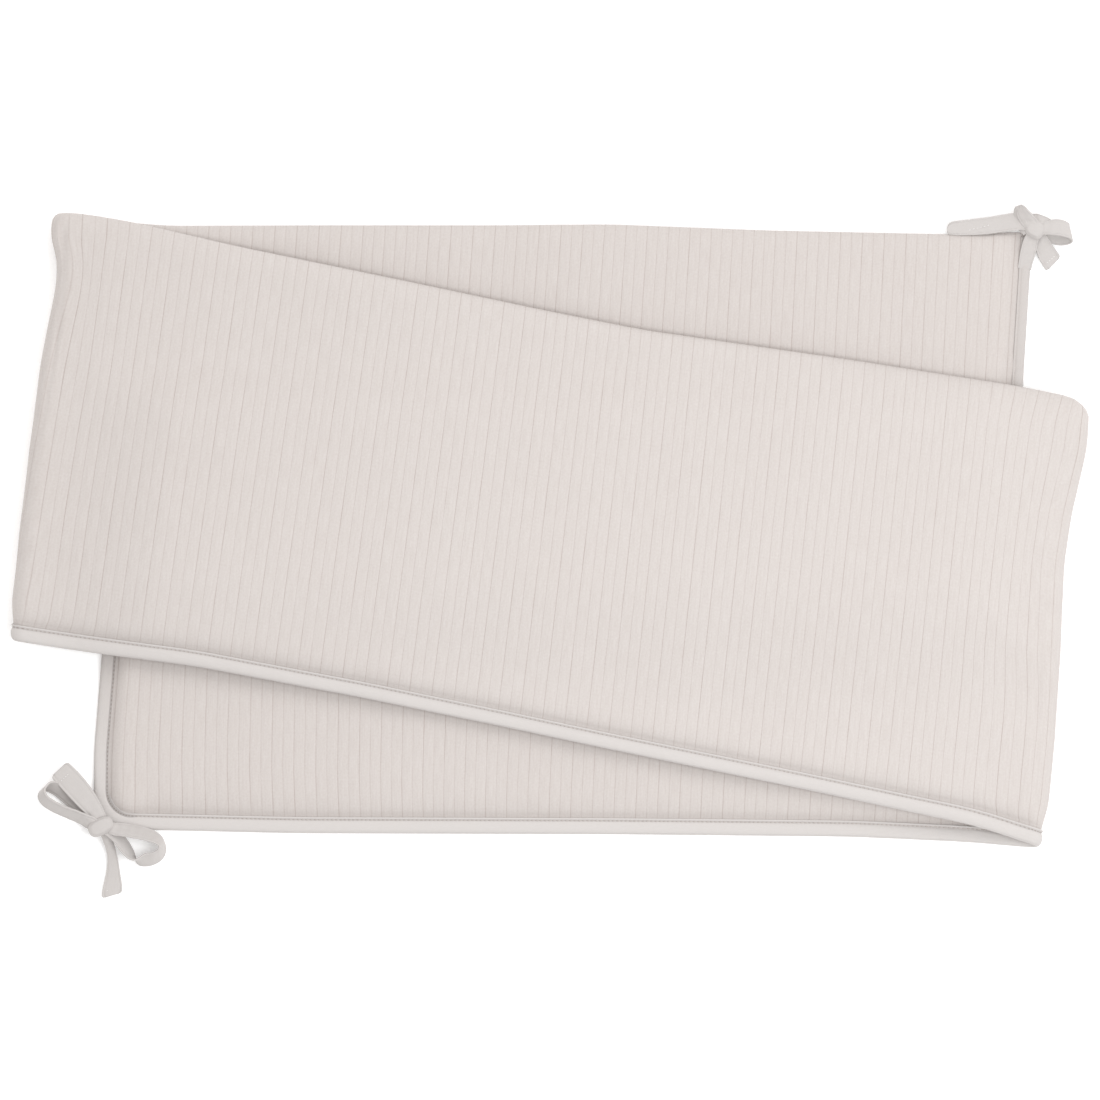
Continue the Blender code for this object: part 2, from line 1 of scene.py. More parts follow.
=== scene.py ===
# A folded crib bumper: a ribbed jersey pad, its binding, and two pairs of ties tied in bows.
import math
import bpy
import numpy as np
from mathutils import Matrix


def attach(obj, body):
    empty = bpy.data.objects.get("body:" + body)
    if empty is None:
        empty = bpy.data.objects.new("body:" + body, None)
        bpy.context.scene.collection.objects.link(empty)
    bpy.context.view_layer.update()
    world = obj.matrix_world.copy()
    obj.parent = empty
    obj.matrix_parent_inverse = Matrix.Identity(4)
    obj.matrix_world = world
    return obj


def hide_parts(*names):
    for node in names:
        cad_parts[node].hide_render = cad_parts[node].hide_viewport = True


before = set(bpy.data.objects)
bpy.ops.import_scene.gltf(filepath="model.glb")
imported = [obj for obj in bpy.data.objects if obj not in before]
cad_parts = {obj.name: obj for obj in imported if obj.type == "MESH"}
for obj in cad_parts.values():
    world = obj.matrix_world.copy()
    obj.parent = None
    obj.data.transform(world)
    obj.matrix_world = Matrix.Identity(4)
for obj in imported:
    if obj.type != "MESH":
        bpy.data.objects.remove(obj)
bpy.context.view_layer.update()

# All lengths are in metres. A place on the flat strip is along (from the middle layer's end),
# across (from the plain edge) and off (from its mid surface). On the table, u runs square to
# the two folds and v runs along them, from the plain edges to the bound ones.
strip = {
    "foldLean": math.radians(5.9),  # the folds stand this far off the Y axis
    "cutWidth": 0.2975,
    "thickness": 0.012,  # one filled layer
    "layerRise": 0.0132,  # from one layer up to the next
    "edgeThickness": 0.0022,  # pressed flat inside the binding
    "seam": 0.012,  # in from the bound edge, where the filling starts
    "puffLength": 0.0075,  # how soon the filling swells up beside the seam
    "levelling": 0.016,  # how soon the mid surface comes down from the binding's level
    "plainRoll": 0.016,  # the rounding along the plain edge
    "rollTightens": 0.6,  # the share of it that the folds take away
    "foldNear": 0.03, "foldThinning": 0.08,  # a layer is this much thinner in a fold
    "cornerRadius": 0.027,
    "endZone": 0.045, "endZoneFades": 0.02,  # the part of the strip beside either end
    "firstSeamOut": 0.0036,  # there the filling starts nearer the middle layer's end
    "lastSeamOut": 0.0022,  # and nearer the bottom layer's end,
    "lastPuffShorter": 0.003,  # where it also swells up sooner
    "middleEnd": 0.3147,
    "middleEndLean": 0.04,
    "middleEndPivot": -0.21,
    "bottomEnd": -0.3032,
    "bottomEndLean": 0.022,
    "bottomEndPivot": 0.155,
    "bottomEndBend": 0.0023,  # its corner stands in, from this v and over this length
    "bendFrom": 0.165, "bendOver": 0.045,
    "pullFades": 0.045,  # how far from a fold its softened line still bends the ribs
    "notchFades": 0.012,  # the same for its notches
    "softLine": 0.07,  # the reach of the softened line
    "foldReach": 1.03,  # how far a fold stands out, as a share of half its height
    "leftTurn": 0.02, "rightTurn": 0.034,  # length of cloth in a fold's turn
    "leastRise": 0.001,
    "leftCentre": -0.358, "rightCentre": 0.348,  # u where the turns start
    "rimLift": 0.0042,  # the top layer's bound edge stands off the layer below,
    "rimLiftReach": 0.045,  # this far in,
    "rimLiftFrom": 0.02, "rimLiftGrows": 0.09, "rimLiftFades": 0.06,  # and between the folds
}
edgeFelt = {  # how far a layer's edge is felt by the layer above it
    "plainOut": 0.038, "plainIn": 0.014,
    "boundOut": 0.044, "boundIn": 0.048,
    "end": 0.04,
    "endMeets": -0.304,  # the bottom layer's end, in u
    "foldHold": 0.1,
    "bridge": 0.45,  # the share of the middle layer's rise kept past its end
}
foldRows = {  # v, u of each fold's outer side
    "left": [(-0.199, -0.3704), (-0.186, -0.3712), (-0.178, -0.3692), (-0.168, -0.3646),
             (-0.152, -0.3632), (-0.138, -0.3642), (-0.12, -0.3662), (-0.092, -0.3685),
             (0.0, -0.3705), (0.077, -0.3715), (0.102, -0.369)],
    "right": [(-0.136, 0.3658), (-0.11, 0.3667), (-0.062, 0.3605), (-0.025, 0.359),
              (0.033, 0.363), (0.096, 0.3655), (0.14, 0.3658), (0.172, 0.363)],
}
layerRows = {  # u, then v of the layer's plain and bound edges
    "middle": [(0.315, -0.2562, 0.039), (0.296, -0.2545, 0.0405), (0.266, -0.2496, 0.043),
               (0.24, -0.2475, 0.045), (0.13, -0.2385, 0.0545), (0.02, -0.2315, 0.064),
               (-0.065, -0.222, 0.072), (-0.18, -0.2102, 0.083), (-0.29, -0.1984, 0.094),
               (-0.358, -0.1975, 0.1)],
    "top": [(-0.358, -0.201, 0.1015), (-0.316, -0.1985, 0.1035), (-0.24, -0.189, 0.1055),
            (-0.12, -0.177, 0.1155), (-0.02, -0.1665, 0.1255), (0.05, -0.16, 0.133),
            (0.2, -0.154, 0.148), (0.31, -0.148, 0.16), (0.352, -0.1435, 0.17)],
    "bottom": [(0.352, -0.129, 0.172), (0.313, -0.126, 0.1725), (0.229, -0.121, 0.1775),
               (0.062, -0.105, 0.193), (-0.16, -0.085, 0.215), (-0.304, -0.072, 0.2265)],
}

middleStop = strip["middleEnd"] - strip["leftCentre"]
topStart = middleStop + strip["leftTurn"]
topStop = topStart + strip["rightCentre"] - strip["leftCentre"]
bottomStart = topStop + strip["rightTurn"]
cutLength = bottomStart + strip["rightCentre"] - edgeFelt["endMeets"]


def ramp(x):  # x held between 0 and 1
    return np.clip(x, 0.0, 1.0)


def ease(x):  # a soft rise from 0 to 1: 3x^2 - 2x^3
    x = ramp(x)
    return x * x * (3 - 2 * x)


def hill(x, centre, width):  # a bell: exp(-((x - centre) / width)^2)
    return np.exp(-((x - centre) / width) ** 2)


def smoothRows(x, xs, ys, reach=0.014):  # straight runs between rows, averaged over the reach
    steps = np.linspace(-reach, reach, 9)
    return sum(np.interp(x + step, xs, ys) for step in steps) / len(steps)


def waves(x, y, size, seed):
    # Soft uneven ground: seven sine waves in turned directions, summed, about -1 to 1.
    draw = np.random.default_rng(seed)
    total = np.zeros(np.broadcast(x, y).shape)
    for number in range(7):
        turn, phase = draw.uniform(0, 2 * math.pi, 2)
        pitch = size * draw.uniform(0.6, 1.6)
        total += np.sin((x * math.cos(turn) + y * math.sin(turn)) * 2 * math.pi / pitch + phase)
    return total / 3.5


def distanceAlong(points):  # running length of a broken line: the sum of its steps up to each point
    return np.concatenate([[0], np.cumsum(np.linalg.norm(np.diff(points, axis=0), axis=1))])


def foldLine(v, name, reach=0.007):  # u of a fold's outer side at v: its rows, joined and softened
    places, sides = np.array(foldRows[name]).T
    return smoothRows(v, places, sides, reach)


def layerEdges(u, name):  # v of a layer's plain and bound edges at u: its rows, joined and softened
    places, plain, bound = np.array(sorted(layerRows[name])).T
    return smoothRows(u, places, plain), smoothRows(u, places, bound)


def stripEdges(along):
    # The same for a place along the strip: the three layers' rows laid end to end, by u counted
    # from the middle layer's end, from the left fold and back from the right one.
    rows = [(strip["middleEnd"] - u, p, b) for u, p, b in layerRows["middle"]]
    rows += [(topStart + u - strip["leftCentre"], p, b) for u, p, b in layerRows["top"]]
    rows += [(bottomStart + strip["rightCentre"] - u, p, b) for u, p, b in layerRows["bottom"]]
    places, plain, bound = np.array(sorted(rows)).T
    return smoothRows(along, places, plain), smoothRows(along, places, bound)


def inset(along, across):
    # Distance in from the nearest bound edge. In the two bound corners: the radius less the
    # distance from the corner's centre.
    radius = strip["cornerRadius"]
    fromEnd = np.minimum(along, cutLength - along)
    fromSide = strip["cutWidth"] - across
    corner = radius - np.hypot(radius - fromEnd, radius - fromSide)
    inCorner = (fromEnd < radius) & (fromSide < radius)
    return np.where(inCorner, corner, np.minimum(fromEnd, fromSide))


def foldNearness(along):  # 1 in a fold's turn, falling softly to 0 at foldNear on either side
    left = np.maximum(middleStop - along, along - topStart)
    right = np.maximum(topStop - along, along - bottomStart)
    return 1 - ease(np.minimum(left, right) / strip["foldNear"])


def halfHeight(along, across):
    # Half the thickness: thin in the binding, then 1 - exp(-x / puffLength) beside the seam,
    # closer to the edge at both ends and steeper at the bottom layer's end.
    atFirst = ease((strip["endZone"] - along) / strip["endZoneFades"])
    atLast = ease((along - cutLength + strip["endZone"]) / strip["endZoneFades"])
    seamOut = strip["lastSeamOut"] * atLast + strip["firstSeamOut"] * atFirst
    inside = np.maximum(inset(along, across) - strip["seam"] + seamOut, 0)
    swell = 1 - np.exp(-inside / (strip["puffLength"] - strip["lastPuffShorter"] * atLast))
    full = strip["thickness"] * (1 - strip["foldThinning"] * foldNearness(along))
    return (strip["edgeThickness"] + (full - strip["edgeThickness"]) * swell) / 2


def edgeLift(along, across):
    # The mid surface rises to the binding's own: lift * (1 - distance from the seam / levelling).
    inside = inset(along, across) - strip["seam"]
    lift = binding["half"] - strip["edgeThickness"] / 2
    return lift * (1 - ramp(inside / strip["levelling"]))


def plainRound(along, across):
    # The share of the thickness beside the plain edge: a quarter ellipse, tighter at the folds.
    roll = strip["plainRoll"] * (1 - strip["rollTightens"] * foldNearness(along))
    return np.sqrt(np.clip(1 - (1 - ramp(across / roll)) ** 2, 0, 1))


def middleEndAt(v):  # u of the middle layer's end: a straight line that leans with v
    return strip["middleEnd"] + strip["middleEndLean"] * (v - strip["middleEndPivot"])


def underneath(u, v, name):
    # How much of the bottom or middle layer lies under this place, 0 to 1: a soft step over its
    # plain edge, times the less of the steps over its end and its bound edge. The last one comes
    # in away from the fold. Past the middle layer's end its rise is bridged in part.
    plain, bound = layerEdges(u, name)
    felt = edgeFelt
    overPlain = ease((v - plain + felt["plainOut"]) / (felt["plainOut"] + felt["plainIn"]))
    overBound = ease((bound - v + felt["boundOut"]) / (felt["boundOut"] + felt["boundIn"]))
    if name == "bottom":
        overEnd = ease((u - felt["endMeets"] + felt["end"]) / (2 * felt["end"]))
        fromFold = strip["rightCentre"] - u
    else:
        overEnd = ease((middleEndAt(v) - u + felt["end"]) / (2 * felt["end"]))
        overEnd = felt["bridge"] + (1 - felt["bridge"]) * overEnd
        fromFold = u - strip["leftCentre"]
    held = ease(fromFold / felt["foldHold"])
    return overPlain * np.minimum(overEnd, 1 + (overBound - 1) * held)


def pulled(away, pull, notch):
    # How far a fold's line shifts the cloth at this distance from it: a wide bell for its soft
    # line and a narrow one for its notches.
    soft, sharp = hill(away, 0, strip["pullFades"]), hill(away, 0, strip["notchFades"])
    return (pull - notch) * soft + notch * sharp


def rimStand(across, topRun):
    # The lift of the top layer's rim: soft steps in from the edge and in from both folds.
    fromRight = topStop - topStart - topRun
    nearRim = ease((across - strip["cutWidth"] + strip["rimLiftReach"]) / strip["rimLiftReach"])
    fromLeft = ease((topRun - strip["rimLiftFrom"]) / strip["rimLiftGrows"])
    return strip["rimLift"] * nearRim * fromLeft * ease(fromRight / strip["rimLiftFades"])


def onTable(along, across, off):
    # The flat strip folded like a letter. A fold is half an ellipse between two layers: u goes
    # out by reach * sin(angle) and z between the layers by cos(angle). A fold that isn't straight
    # pulls its layers along, by less and less further in. off goes along the ellipse's own
    # normal. The last step turns (u, v) by the folds' lean.
    leftCentre, rightCentre = strip["leftCentre"], strip["rightCentre"]
    layerRise = strip["layerRise"]
    plain, bound = stripEdges(along)
    v = plain + (bound - plain) * across / strip["cutWidth"]
    low = halfHeight(along, across) + edgeLift(along, across)
    onLeft = along < (topStart + topStop) / 2
    heldUp = underneath(rightCentre, v, "bottom") + underneath(rightCentre, v, "middle")
    rise = layerRise / 2 * np.where(onLeft, underneath(leftCentre, v, "middle"), heldUp)
    rise = np.maximum(rise, strip["leastRise"])
    reach = rise * strip["foldReach"]
    leftPull = foldLine(v, "left") + low + reach - leftCentre
    rightPull = foldLine(v, "right") - low - reach - rightCentre
    leftNotch = foldLine(v, "left") - foldLine(v, "left", strip["softLine"])
    rightNotch = foldLine(v, "right") - foldLine(v, "right", strip["softLine"])
    toLeft = np.maximum(middleStop - along, 0)
    uMiddle = leftCentre + (middleEndAt(v) - leftCentre) * toLeft / middleStop
    uMiddle = uMiddle + pulled(toLeft, leftPull, leftNotch)
    topRun = np.clip(along, topStart, topStop) - topStart
    uTop = leftCentre + topRun + pulled(topRun, leftPull, leftNotch)
    uTop = uTop + pulled(topStop - topStart - topRun, rightPull, rightNotch)
    fromRight = np.maximum(along - bottomStart, 0)
    bottomEnd = strip["bottomEnd"] + strip["bottomEndLean"] * (v - strip["bottomEndPivot"])
    bend = ease((v - strip["bendFrom"]) / strip["bendOver"])
    bottomEnd = bottomEnd + strip["bottomEndBend"] * bend
    uBottom = rightCentre + (bottomEnd - rightCentre) * fromRight / (cutLength - bottomStart)
    uBottom = uBottom + pulled(fromRight, rightPull, rightNotch)
    zMiddle = layerRise * underneath(uMiddle, v, "bottom") + low
    zTop = layerRise * (underneath(uTop, v, "bottom") + underneath(uTop, v, "middle")) + low
    zTop = zTop + rimStand(across, topRun)
    pastLeft = ramp((along - middleStop) / strip["leftTurn"])
    pastRight = ramp((along - topStop) / strip["rightTurn"])
    angle = math.pi * (1 - pastLeft + pastRight)  # 0 on the top layer, pi on the other two
    lower = np.where(onLeft, zMiddle, low)
    side = np.where(onLeft, -1.0, 1.0)
    u = np.where(angle < math.pi / 2, uTop, np.where(onLeft, uMiddle, uBottom))
    turned = u + side * reach * np.sin(angle)
    z = (zTop + lower) / 2 + (zTop - lower) / 2 * np.cos(angle)
    normalU = side * np.sin(angle) / reach
    normalZ = np.cos(angle) / rise
    size = np.hypot(normalU, normalZ)
    turned = turned + off * normalU / size
    z = z + off * normalZ / size
    lean = strip["foldLean"]
    x = turned * math.cos(lean) - v * math.sin(lean)
    y = -turned * math.sin(lean) - v * math.cos(lean)
    return np.stack([x, y, z], axis=-1)


def gridFaces(rows, columns):
    # Quads over a grid of points whose last column joins its first, each from a point and its
    # three neighbours.
    r, c = np.meshgrid(np.arange(rows - 1), np.arange(columns), indexing="ij")
    here = r * columns + c
    there = r * columns + (c + 1) % columns
    return np.stack([here, there, there + columns, here + columns], axis=-1).reshape(-1, 4)


def closedTube(rings, turned=False):
    # Rings of points as a mesh: quads between rings and a cap on the first and last one. turned
    # makes its faces point the other way.
    rows, columns = rings.shape[:2]
    quads = gridFaces(rows, columns)
    caps = np.stack([np.arange(columns)[::-1], np.arange(columns) + (rows - 1) * columns])
    if turned:
        quads, caps = quads[:, ::-1], caps[:, ::-1]
    return rings.reshape(-1, 3), quads, caps


def newPiece(name, meshes, material, uv=None):
    # One piece from meshes of points, quads and caps: each one's faces count on from the points
    # before it. uv holds one place on the cloth for each point.
    mesh = bpy.data.meshes.new(name)
    starts = np.cumsum([0] + [len(points) for points, quads, caps in meshes])
    faces = []
    for start, (points, quads, caps) in zip(starts, meshes):
        faces += (quads + start).tolist() + (caps + start).tolist()
    mesh.from_pydata(np.concatenate([points for points, quads, caps in meshes]).tolist(), [], faces)
    mesh.validate()
    if uv is not None:
        layer = mesh.uv_layers.new(name="cloth")
        corner = np.empty(len(mesh.loops), np.int32)
        mesh.loops.foreach_get("vertex_index", corner)
        layer.data.foreach_set("uv", np.asarray(uv, np.float32).reshape(-1, 2)[corner].ravel())
    mesh.polygons.foreach_set("use_smooth", np.ones(len(mesh.polygons), bool))
    mesh.materials.append(material)
    mesh.update()
    piece = bpy.data.objects.new(name, mesh)
    bpy.context.scene.collection.objects.link(piece)
    print(name, "has", len(faces), "faces")
    return piece


ribs = {
    "pitch": 0.0076,  # from one drop-needle line to the next; every second one is strong
    "pitchRows": [(0.0, 0.0073), (0.1, 0.0076), (0.6, 0.0076), (0.7, 0.00812), (0.95, 0.0078),
                  (1.12, 0.0076), (1.36, 0.0074), (1.48, 0.0076), (2.09, 0.0076)],
    "strongDepth": 0.00019,
    "weakDepth": 0.00012,
    "stops": (-0.085, 0.0, 0.085, 0.5),  # rows of points for each rib, as shares of the pitch
    "width": 0.00042,
    "skewRows": [(0.0, 0.0), (0.065, -0.015), (0.175, -0.021), (0.31, -0.005), (0.5, -0.02),
                 (0.68, -0.037), (0.88, -0.037), (1.01, -0.022), (1.13, 0.0), (1.25, -0.003),
                 (1.34, 0.004), (1.4, 0.0), (1.48, -0.045), (1.79, -0.042), (1.91, -0.075),
                 (2.0, -0.06), (2.06, -0.02), (2.0847, 0.0)],
    "skewFades": 0.03,
}
pad = {
    "endRows": [0.0, 0.01, 0.03, 0.06, 0.1, 0.15, 0.21],  # at the ends, as shares of the radius
    "turnRows": 21, "closest": 0.00016,  # rows of points in each fold, and their least distance
    "creaseRows": (0.001, 0.02, 20),  # first, last and number, past the left fold
    "rollLines": 7,  # lines of points round the plain edge
    "fieldLines": (0.0205, 0.042, 38),  # in from the plain edge, in from the bound edge, number
    "swellLines": [0.036, 0.031, 0.0265, 0.0225, 0.0195, 0.017, 0.015, 0.0135, 0.0124, 0.0113,
                   0.009, 0.0045],  # in from the bound edge
    "squeezeFrom": 0.15,  # the lines give way to the round corners from here
    "grooveFadesPlain": 0.01, "grooveFadesSeam": 0.005,
    "hiddenGroove": 0.8,
    "sway": [(0.0006, 0.15, 4), (0.0002, 0.05, 5)],  # height, size and seed of its soft unevenness
    "swayFades": 0.03,
    "reliefFades": 0.01,
    "creasePastLeft": 0.009, "creasePastRight": 0.013, "creaseStep": 0.004,  # out into the turns
    "creases": [  # on the top layer: x and y of each line's points, depth and width
        ([(0.3605, 0.077), (0.3569, 0.0453), (0.3535, 0.0156), (0.343, -0.049),
          (0.3395, -0.175)], 0.0011, 0.0034),
        ([(0.37, 0.096), (0.367, 0.0706), (0.3619, 0.0411), (0.3585, 0.02)], 0.001, 0.0022),
        ([(0.3374, -0.1435), (0.3283, -0.1862)], -0.0007, 0.0028),
        ([(0.3416, -0.175), (0.3325, -0.1848)], 0.0006, 0.0018),
        ([(-0.3376, 0.235), (-0.338, 0.2285), (-0.3391, 0.2214), (-0.3399, 0.2085),
          (-0.3406, 0.1987), (-0.3421, 0.1813), (-0.3437, 0.1534), (-0.35, 0.118),
          (-0.357, 0.08)], 0.0013, 0.0015),
        ([(-0.344, 0.233), (-0.3432, 0.2214), (-0.3436, 0.2085), (-0.3448, 0.196)], 0.0052, 0.0032),
    ],
}


def ribCount(along, back=False):
    # How many rib pitches lie before this place: the sum of step / pitch; back turns it round.
    places, pitches = np.array(ribs["pitchRows"]).T
    grid = np.linspace(0, cutLength, 4001)
    steps = np.diff(grid) / np.interp(grid[1:], places, pitches)
    counts = np.concatenate([[0], np.cumsum(steps)])
    return np.interp(along, counts, grid) if back else np.interp(along, grid, counts)


def ribStations():
    # Distances along the strip, one for each row of points: close together at each groove, and
    # round ends and folds. A row closer to the one before than closest is left out.
    grooves = np.arange(int(ribCount(cutLength)) + 1)[:, None] + 0.5
    stops = (grooves + np.array(ribs["stops"])).ravel()
    stations = ribCount(stops[stops < ribCount(cutLength)], back=True)
    ends = strip["cornerRadius"] * np.array(pad["endRows"])
    turn = np.linspace(0, 1, pad["turnRows"])
    leftTurn, rightTurn = middleStop + strip["leftTurn"] * turn, topStop + strip["rightTurn"] * turn
    atCreases = topStart + np.linspace(*pad["creaseRows"])
    stations = np.concatenate([stations, ends, cutLength - ends, leftTurn, rightTurn, atCreases])
    stations = np.unique(np.round(stations, 6))
    return stations[np.concatenate([[True], np.diff(stations) > pad["closest"]])]


def ribGroove(count):
    # Depth of the grooves: a bell in the middle of each pitch, deeper at every second one.
    number = np.floor(count)
    away = (count - number - 0.5) * ribs["pitch"]
    depth = np.where(number % 2 == 1, ribs["strongDepth"], ribs["weakDepth"])
    return depth * hill(away, 0, ribs["width"])


def linePlace(x, y, line):
    # Distance from a broken line, and how far along it the nearest place is, 0 to 1.
    line = np.array(line)
    best, share = np.full(x.shape, 1e3), np.zeros(x.shape)
    for number, (start, end) in enumerate(zip(line[:-1], line[1:])):
        run = end - start
        t = ramp(((x - start[0]) * run[0] + (y - start[1]) * run[1]) / (run @ run))
        away = np.hypot(x - start[0] - t * run[0], y - start[1] - t * run[1])
        share = np.where(away < best, (number + t) / (len(line) - 1), share)
        best = np.minimum(away, best)
    return best, share


def creaseRelief(x, y):
    # Soft troughs and ridges: each a bell across its line, fading out at its two ends.
    total = np.zeros(x.shape)
    for line, depth, width in pad["creases"]:
        away, share = linePlace(x, y, line)
        total -= depth * hill(away, 0, width) * np.sin(math.pi * (0.08 + 0.84 * share)) ** 0.5
    return total


def makePad(material):
    # The strip's two faces as one closed tube: rings round the strip, one for each station, at
    # half the thickness above and below the mid surface, less the grooves and plus a soft sway.
    # The rings' slant follows the ribs, and the face that shows gets the sway and the creases.
    width = strip["cutWidth"]
    stations = ribStations()
    roll = strip["plainRoll"] * (1 - np.cos(np.linspace(0, math.pi / 2, pad["rollLines"])))[1:]
    first, last, count = pad["fieldLines"]
    field, swell = np.linspace(first, width - last, count), width - np.array(pad["swellLines"])
    lines = np.concatenate([roll, field, swell])
    flatAlong, flatLine = np.meshgrid(stations, lines, indexing="ij")
    radius = strip["cornerRadius"]
    short = np.clip(radius - np.minimum(flatAlong, cutLength - flatAlong), 0, None)
    cutBack = radius - np.sqrt(np.maximum((radius - binding["clear"]) ** 2 - short**2, 0))
    squeeze = ease((flatLine - pad["squeezeFrom"]) / (width - pad["squeezeFrom"]))
    across = flatLine - (cutBack + binding["clear"]) * squeeze
    skew = smoothRows(flatAlong, *np.array(ribs["skewRows"]).T, reach=0.03)
    fades = ribs["skewFades"]
    skew = skew * ramp(flatAlong / fades) * ramp((cutLength - flatAlong) / fades)
    along = flatAlong + skew * (across - width / 2)
    inside = inset(along, across) - strip["seam"]
    half = halfHeight(along, across) * plainRound(along, across)
    groove = ribGroove(ribCount(flatAlong)) * ramp(across / pad["grooveFadesPlain"])
    groove = groove * ramp(inside / pad["grooveFadesSeam"])
    sway = sum(height * waves(along, across, size, seed) for height, size, seed in pad["sway"])
    sway = sway * ramp(inside / pad["swayFades"]) * ramp(across / pad["swayFades"])
    shown = half - groove + sway
    hidden = half - groove * pad["hiddenGroove"]
    onTop = flatAlong > topStart - strip["leftTurn"] / 2
    onTop = onTop & (flatAlong < bottomStart - strip["rightTurn"] / 2)
    below = np.arange(len(lines))[::-1]  # the second face: every third line, and all by the edges
    below = below[(below % 3 == 1) | (below > len(lines) - 4) | (below < 6)]
    edge = onTable(stations - skew[:, 0] * width / 2, 0 * stations, 0 * stations)
    firstFace = onTable(along, across, np.where(onTop, shown, hidden))
    faceDown = np.where(onTop, hidden, shown)[:, below]
    secondFace = onTable(along[:, below], across[:, below], -faceDown)
    relief = creaseRelief(firstFace[..., 0], firstFace[..., 1])
    relief = relief * ramp(inside / pad["reliefFades"]) * ramp(across / pad["reliefFades"])
    fromLeft = flatAlong - topStart + pad["creasePastLeft"]
    fromRight = topStop + pad["creasePastRight"] - flatAlong
    onFlat = ramp(fromLeft / pad["creaseStep"]) * ramp(fromRight / pad["creaseStep"])
    firstFace[..., 2] += relief * onFlat
    rings = np.concatenate([edge[:, None, :], firstFace, secondFace], axis=1)
    rings[..., 2] = np.maximum(rings[..., 2], 0.0)
    ribPlace = ribCount(flatAlong) * ribs["pitch"]
    uvAlong = np.concatenate([ribPlace[:, :1], ribPlace, ribPlace[:, below]], axis=1)
    uvAcross = np.concatenate([0 * ribPlace[:, :1], across, -across[:, below]], axis=1)
    uv = np.stack([uvAlong, uvAcross], axis=-1)
    return newPiece("bumperPad", [closedTube(rings)], material, uv)


binding = {
    "flat": (0.026, 2.69),  # the tape as it was cut
    "width": 0.0105,
    "half": 0.0025,  # half its height over the edge
    "clear": 0.0005,
    "faceStep": 0.02,  # on its UV map the upper and the lower face stand this far from nought
    "narrower": 0.34,  # how much narrower it shows at the middle layer's end,
    "narrowTo": 0.19, "narrowFades": 0.04,  # up to this distance along it
    "upper": [  # its upper outline: out from the edge, and height over the mid surface
        (-0.0106, 0.0021), (-0.0102, 0.0026), (-0.0096, 0.0025), (-0.0091, 0.0019),
        (-0.0086, 0.0014), (-0.0081, 0.0017), (-0.0074, 0.0022), (-0.006, 0.0027),
        (-0.004, 0.0028), (-0.0022, 0.0026), (-0.0008, 0.0021), (0.0003, 0.0013), (0.0009, 0.0)],
    "lipHeight": 0.0002,  # the lip's edge stands this far off the cloth
    "start": 0.003, "step": 0.0011, "cornerRows": 18, "leftRows": 33, "rightRows": 41,
    "closest": 0.0002,
    "puffs": [(0.0003, 0.035, 8), (0.00012, 0.011, 9)],  # height, size and seed of its unevenness
    "puffAt": -0.0045, "puffWidth": 0.0035,
    "holeDepth": 0.00032, "holeWidth": 0.0007,
    "firstLevel": 0.0005, "firstTo": 0.14, "firstFades": 0.05,  # its groove is filled at the start
    "joinAt": 1.489, "joinLean": 0.5, "joinDepth": 0.0005, "joinWidth": 0.0006,  # its ends meet
    "lipFrom": 0.0088, "lipStep": 0.0004,  # at both ends the lip sinks in beside the filling,
    "lipLeft": 0.0003,  # to this height,
    "lipStart": (0.15, 0.04, 0.8), "lipEnd": (0.31, 0.02),  # up to, over what length, how much
    "stitchPitch": 0.003,
    "stitchIn": 0.0086,
    "stitchHalf": 0.36,  # half a stitch, as a share of the pitch
    "stitchMargin": 0.004, "stitchStep": 0.0005,
    "upperStitch": 0.00148, "lowerStitch": -0.00155,
    "thread": (0.00055, 0.0004, 0.00012),  # width, height and arch
}


def bindingRoute(step):
    # The bound edge as along, across and the outward direction: an end, a quarter turn, the
    # long edge, a quarter turn and the other end, with points a step apart.
    radius, width = strip["cornerRadius"], strip["cutWidth"]
    straight = np.arange(binding["start"], width - radius, step)
    turn = np.linspace(0, math.pi / 2, binding["cornerRows"])
    side = np.arange(radius + step, cutLength - radius, step)
    folds = [middleStop + strip["leftTurn"] * np.linspace(0, 1, binding["leftRows"]),
             topStop + strip["rightTurn"] * np.linspace(0, 1, binding["rightRows"])]
    side = np.unique(np.round(np.concatenate([side] + folds), 6))
    side = side[np.concatenate([[True], np.diff(side) > binding["closest"]])]
    sine, cosine = np.sin(turn), np.cos(turn)
    zero, one = np.zeros_like, np.ones_like
    parts = [
        (zero(straight), straight, -one(straight), zero(straight)),
        (radius * (1 - cosine), width - radius + radius * sine, -cosine, sine),
        (side, width * one(side), zero(side), one(side)),
        (cutLength - radius * (1 - sine), width - radius + radius * cosine, sine, cosine),
        (cutLength * one(straight), straight[::-1], one(straight), zero(straight)),
    ]
    return np.concatenate([np.stack(part, axis=1) for part in parts])


def tapeShare(here):  # a soft step in the width that shows, from 1 - narrower up to 1
    return 1 - binding["narrower"] * ease((binding["narrowTo"] - here) / binding["narrowFades"])


def bindingProfile():
    # The tape's outline as out and off: a narrow lip on the cloth, the stitched groove, the
    # rolled edge, then the same below, flatter, and the inner face's level.
    inner = strip["edgeThickness"] / 2 + binding["clear"]
    upper = [(-binding["width"], inner + binding["lipHeight"])] + binding["upper"]
    lower = [(out, -min(off, binding["half"])) for out, off in upper[:-1]][::-1]
    return np.array(upper + lower), inner


